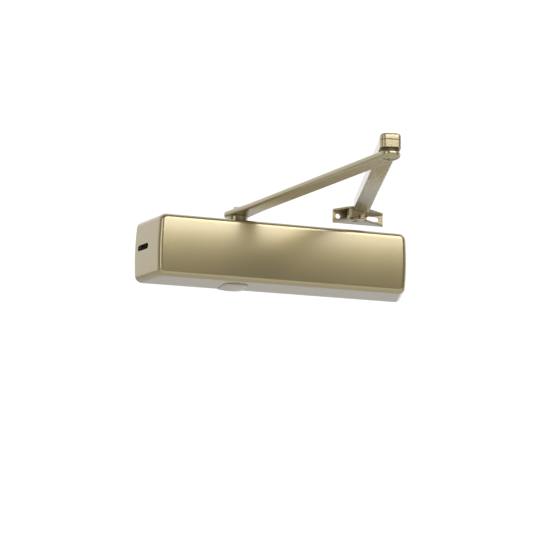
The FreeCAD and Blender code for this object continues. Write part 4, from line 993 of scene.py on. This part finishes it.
class CLOSER_OT_studio(bpy.types.Operator):
    """Sets the pale floor, the soft lights and the camera"""
    bl_idname = "closer.studio"
    bl_label = "Studio"

    def execute(self, context):
        settings = context.scene.closer_studio
        self.floor()
        self.surroundings(context.scene, settings)
        self.softbox("key softbox", (0.75, -2.6, 1.58), (3.4, 1.5), settings.key_light)
        self.softbox("fill softbox", (-2.2, -1.9, 0.75), (0.9, 1.6), settings.fill_light)
        self.camera(context.scene, settings)
        context.scene.view_settings.view_transform = "Standard"
        return {"FINISHED"}

    @staticmethod
    def floor():
        """A round floor below the object."""
        form = bmesh.new()
        bmesh.ops.create_circle(form, cap_ends=True, radius=FLOOR_RADIUS, segments=96)
        shift(form, 0, 0, FRAME_LOW.z - FLOOR_DROP)
        plane = add_object("studio_floor", form)
        plane.data.materials.append(material("floor"))

    @staticmethod
    def surroundings(scene, settings):
        """White surroundings that darken behind the camera."""
        world = bpy.data.worlds.new("studio")
        scene.world = world
        world.use_nodes = True
        nodes, links = world.node_tree.nodes, world.node_tree.links
        nodes.clear()
        direction = nodes.new("ShaderNodeTexCoord")
        parts = nodes.new("ShaderNodeSeparateXYZ")
        links.new(direction.outputs["Generated"], parts.inputs[0])
        spread = nodes.new("ShaderNodeMapRange")
        spread.interpolation_type = "SMOOTHSTEP"
        for key, value in (("From Min", -0.3), ("From Max", 0.25), ("To Min", 0.07), ("To Max", 1.0)):
            spread.inputs[key].default_value = value
        links.new(parts.outputs["Y"], spread.inputs["Value"])
        power = nodes.new("ShaderNodeMath")
        power.operation = "MULTIPLY"
        power.inputs[1].default_value = settings.backdrop
        links.new(spread.outputs[0], power.inputs[0])
        sky = nodes.new("ShaderNodeBackground")
        links.new(power.outputs[0], sky.inputs["Strength"])
        sky.inputs["Color"].default_value = (1.0, 1.0, 1.0, 1.0)
        out = nodes.new("ShaderNodeOutputWorld")
        links.new(sky.outputs[0], out.inputs[0])

    @staticmethod
    def softbox(name, place, size, watts):
        """A rectangular area light aimed at the object."""
        light = bpy.data.lights.new(name, "AREA")
        light.shape = "RECTANGLE"
        light.size, light.size_y = size
        light.energy = watts
        lamp = bpy.data.objects.new(name, light)
        lamp.location = place
        lamp.rotation_mode = "QUATERNION"
        lamp.rotation_quaternion = (Vector(LIGHT_AIM) - Vector(place)).to_track_quat("-Z", "Y")
        bpy.context.scene.collection.objects.link(lamp)

    @staticmethod
    def camera(scene, settings):
        """A camera below and to the left, looking up."""
        yaw, pitch, roll = settings.yaw, settings.pitch, settings.roll
        look = Vector((math.sin(yaw) * math.cos(pitch), math.cos(yaw) * math.cos(pitch), math.sin(pitch)))
        right = Vector((math.cos(yaw), -math.sin(yaw), 0.0))
        upward = right.cross(look)
        across = right * math.cos(roll) + upward * math.sin(roll)
        tilted = upward * math.cos(roll) - right * math.sin(roll)
        data = bpy.data.cameras.new("closer camera")
        data.sensor_width = SENSOR_WIDTH
        data.lens = settings.lens
        eye = bpy.data.objects.new("closer camera", data)
        turned = Matrix((across, tilted, -look)).transposed()
        place = Vector(CAMERA_AIM) - look * settings.distance
        eye.matrix_world = Matrix.Translation(place) @ turned.to_4x4()
        scene.collection.objects.link(eye)
        scene.camera = eye


# --- the panel and the registration ---
STEPS = (CLOSER_OT_cover, CLOSER_OT_cap, CLOSER_OT_main_arm, CLOSER_OT_forearm, CLOSER_OT_knuckle,
         CLOSER_OT_shoe, CLOSER_OT_fasteners, CLOSER_OT_springs, CLOSER_OT_inner_parts, CLOSER_OT_studio)
GROUPS = (("closer_cover", CoverSizes), ("closer_arms", ArmSizes), ("closer_shoe", ShoeSizes),
          ("closer_finishes", Finishes), ("closer_studio", StudioSettings))


class CLOSER_PT_panel(bpy.types.Panel):
    """Lists the settings and the building steps"""
    bl_idname = "CLOSER_PT_panel"
    bl_label = "Door Closer"
    bl_space_type = "VIEW_3D"
    bl_region_type = "UI"
    bl_category = "Closer"

    def draw(self, context):
        for name, group in GROUPS:
            box = self.layout.box()
            box.label(text=group.__doc__.rstrip("."))
            for setting in group.__annotations__:
                box.prop(getattr(context.scene, name), setting)
        for step in STEPS:
            self.layout.operator(step.bl_idname)


def register():
    """Registers the settings, the steps and the panel."""
    for name, group in GROUPS:
        bpy.utils.register_class(group)
        setattr(bpy.types.Scene, name, bpy.props.PointerProperty(type=group))
    for step in STEPS:
        bpy.utils.register_class(step)
    bpy.utils.register_class(CLOSER_PT_panel)


def unregister():
    """Takes them all away again."""
    bpy.utils.unregister_class(CLOSER_PT_panel)
    for step in reversed(STEPS):
        bpy.utils.unregister_class(step)
    for name, group in reversed(GROUPS):
        delattr(bpy.types.Scene, name)
        bpy.utils.unregister_class(group)


def main():
    """Builds everything in order."""
    register()
    bpy.ops.closer.cover()
    bpy.ops.closer.cap()
    bpy.ops.closer.main_arm()
    bpy.ops.closer.forearm()
    bpy.ops.closer.knuckle()
    bpy.ops.closer.shoe()
    bpy.ops.closer.fasteners()
    bpy.ops.closer.springs()
    bpy.ops.closer.inner_parts()
    bpy.ops.closer.studio()


if __name__ == "__main__":
    main()
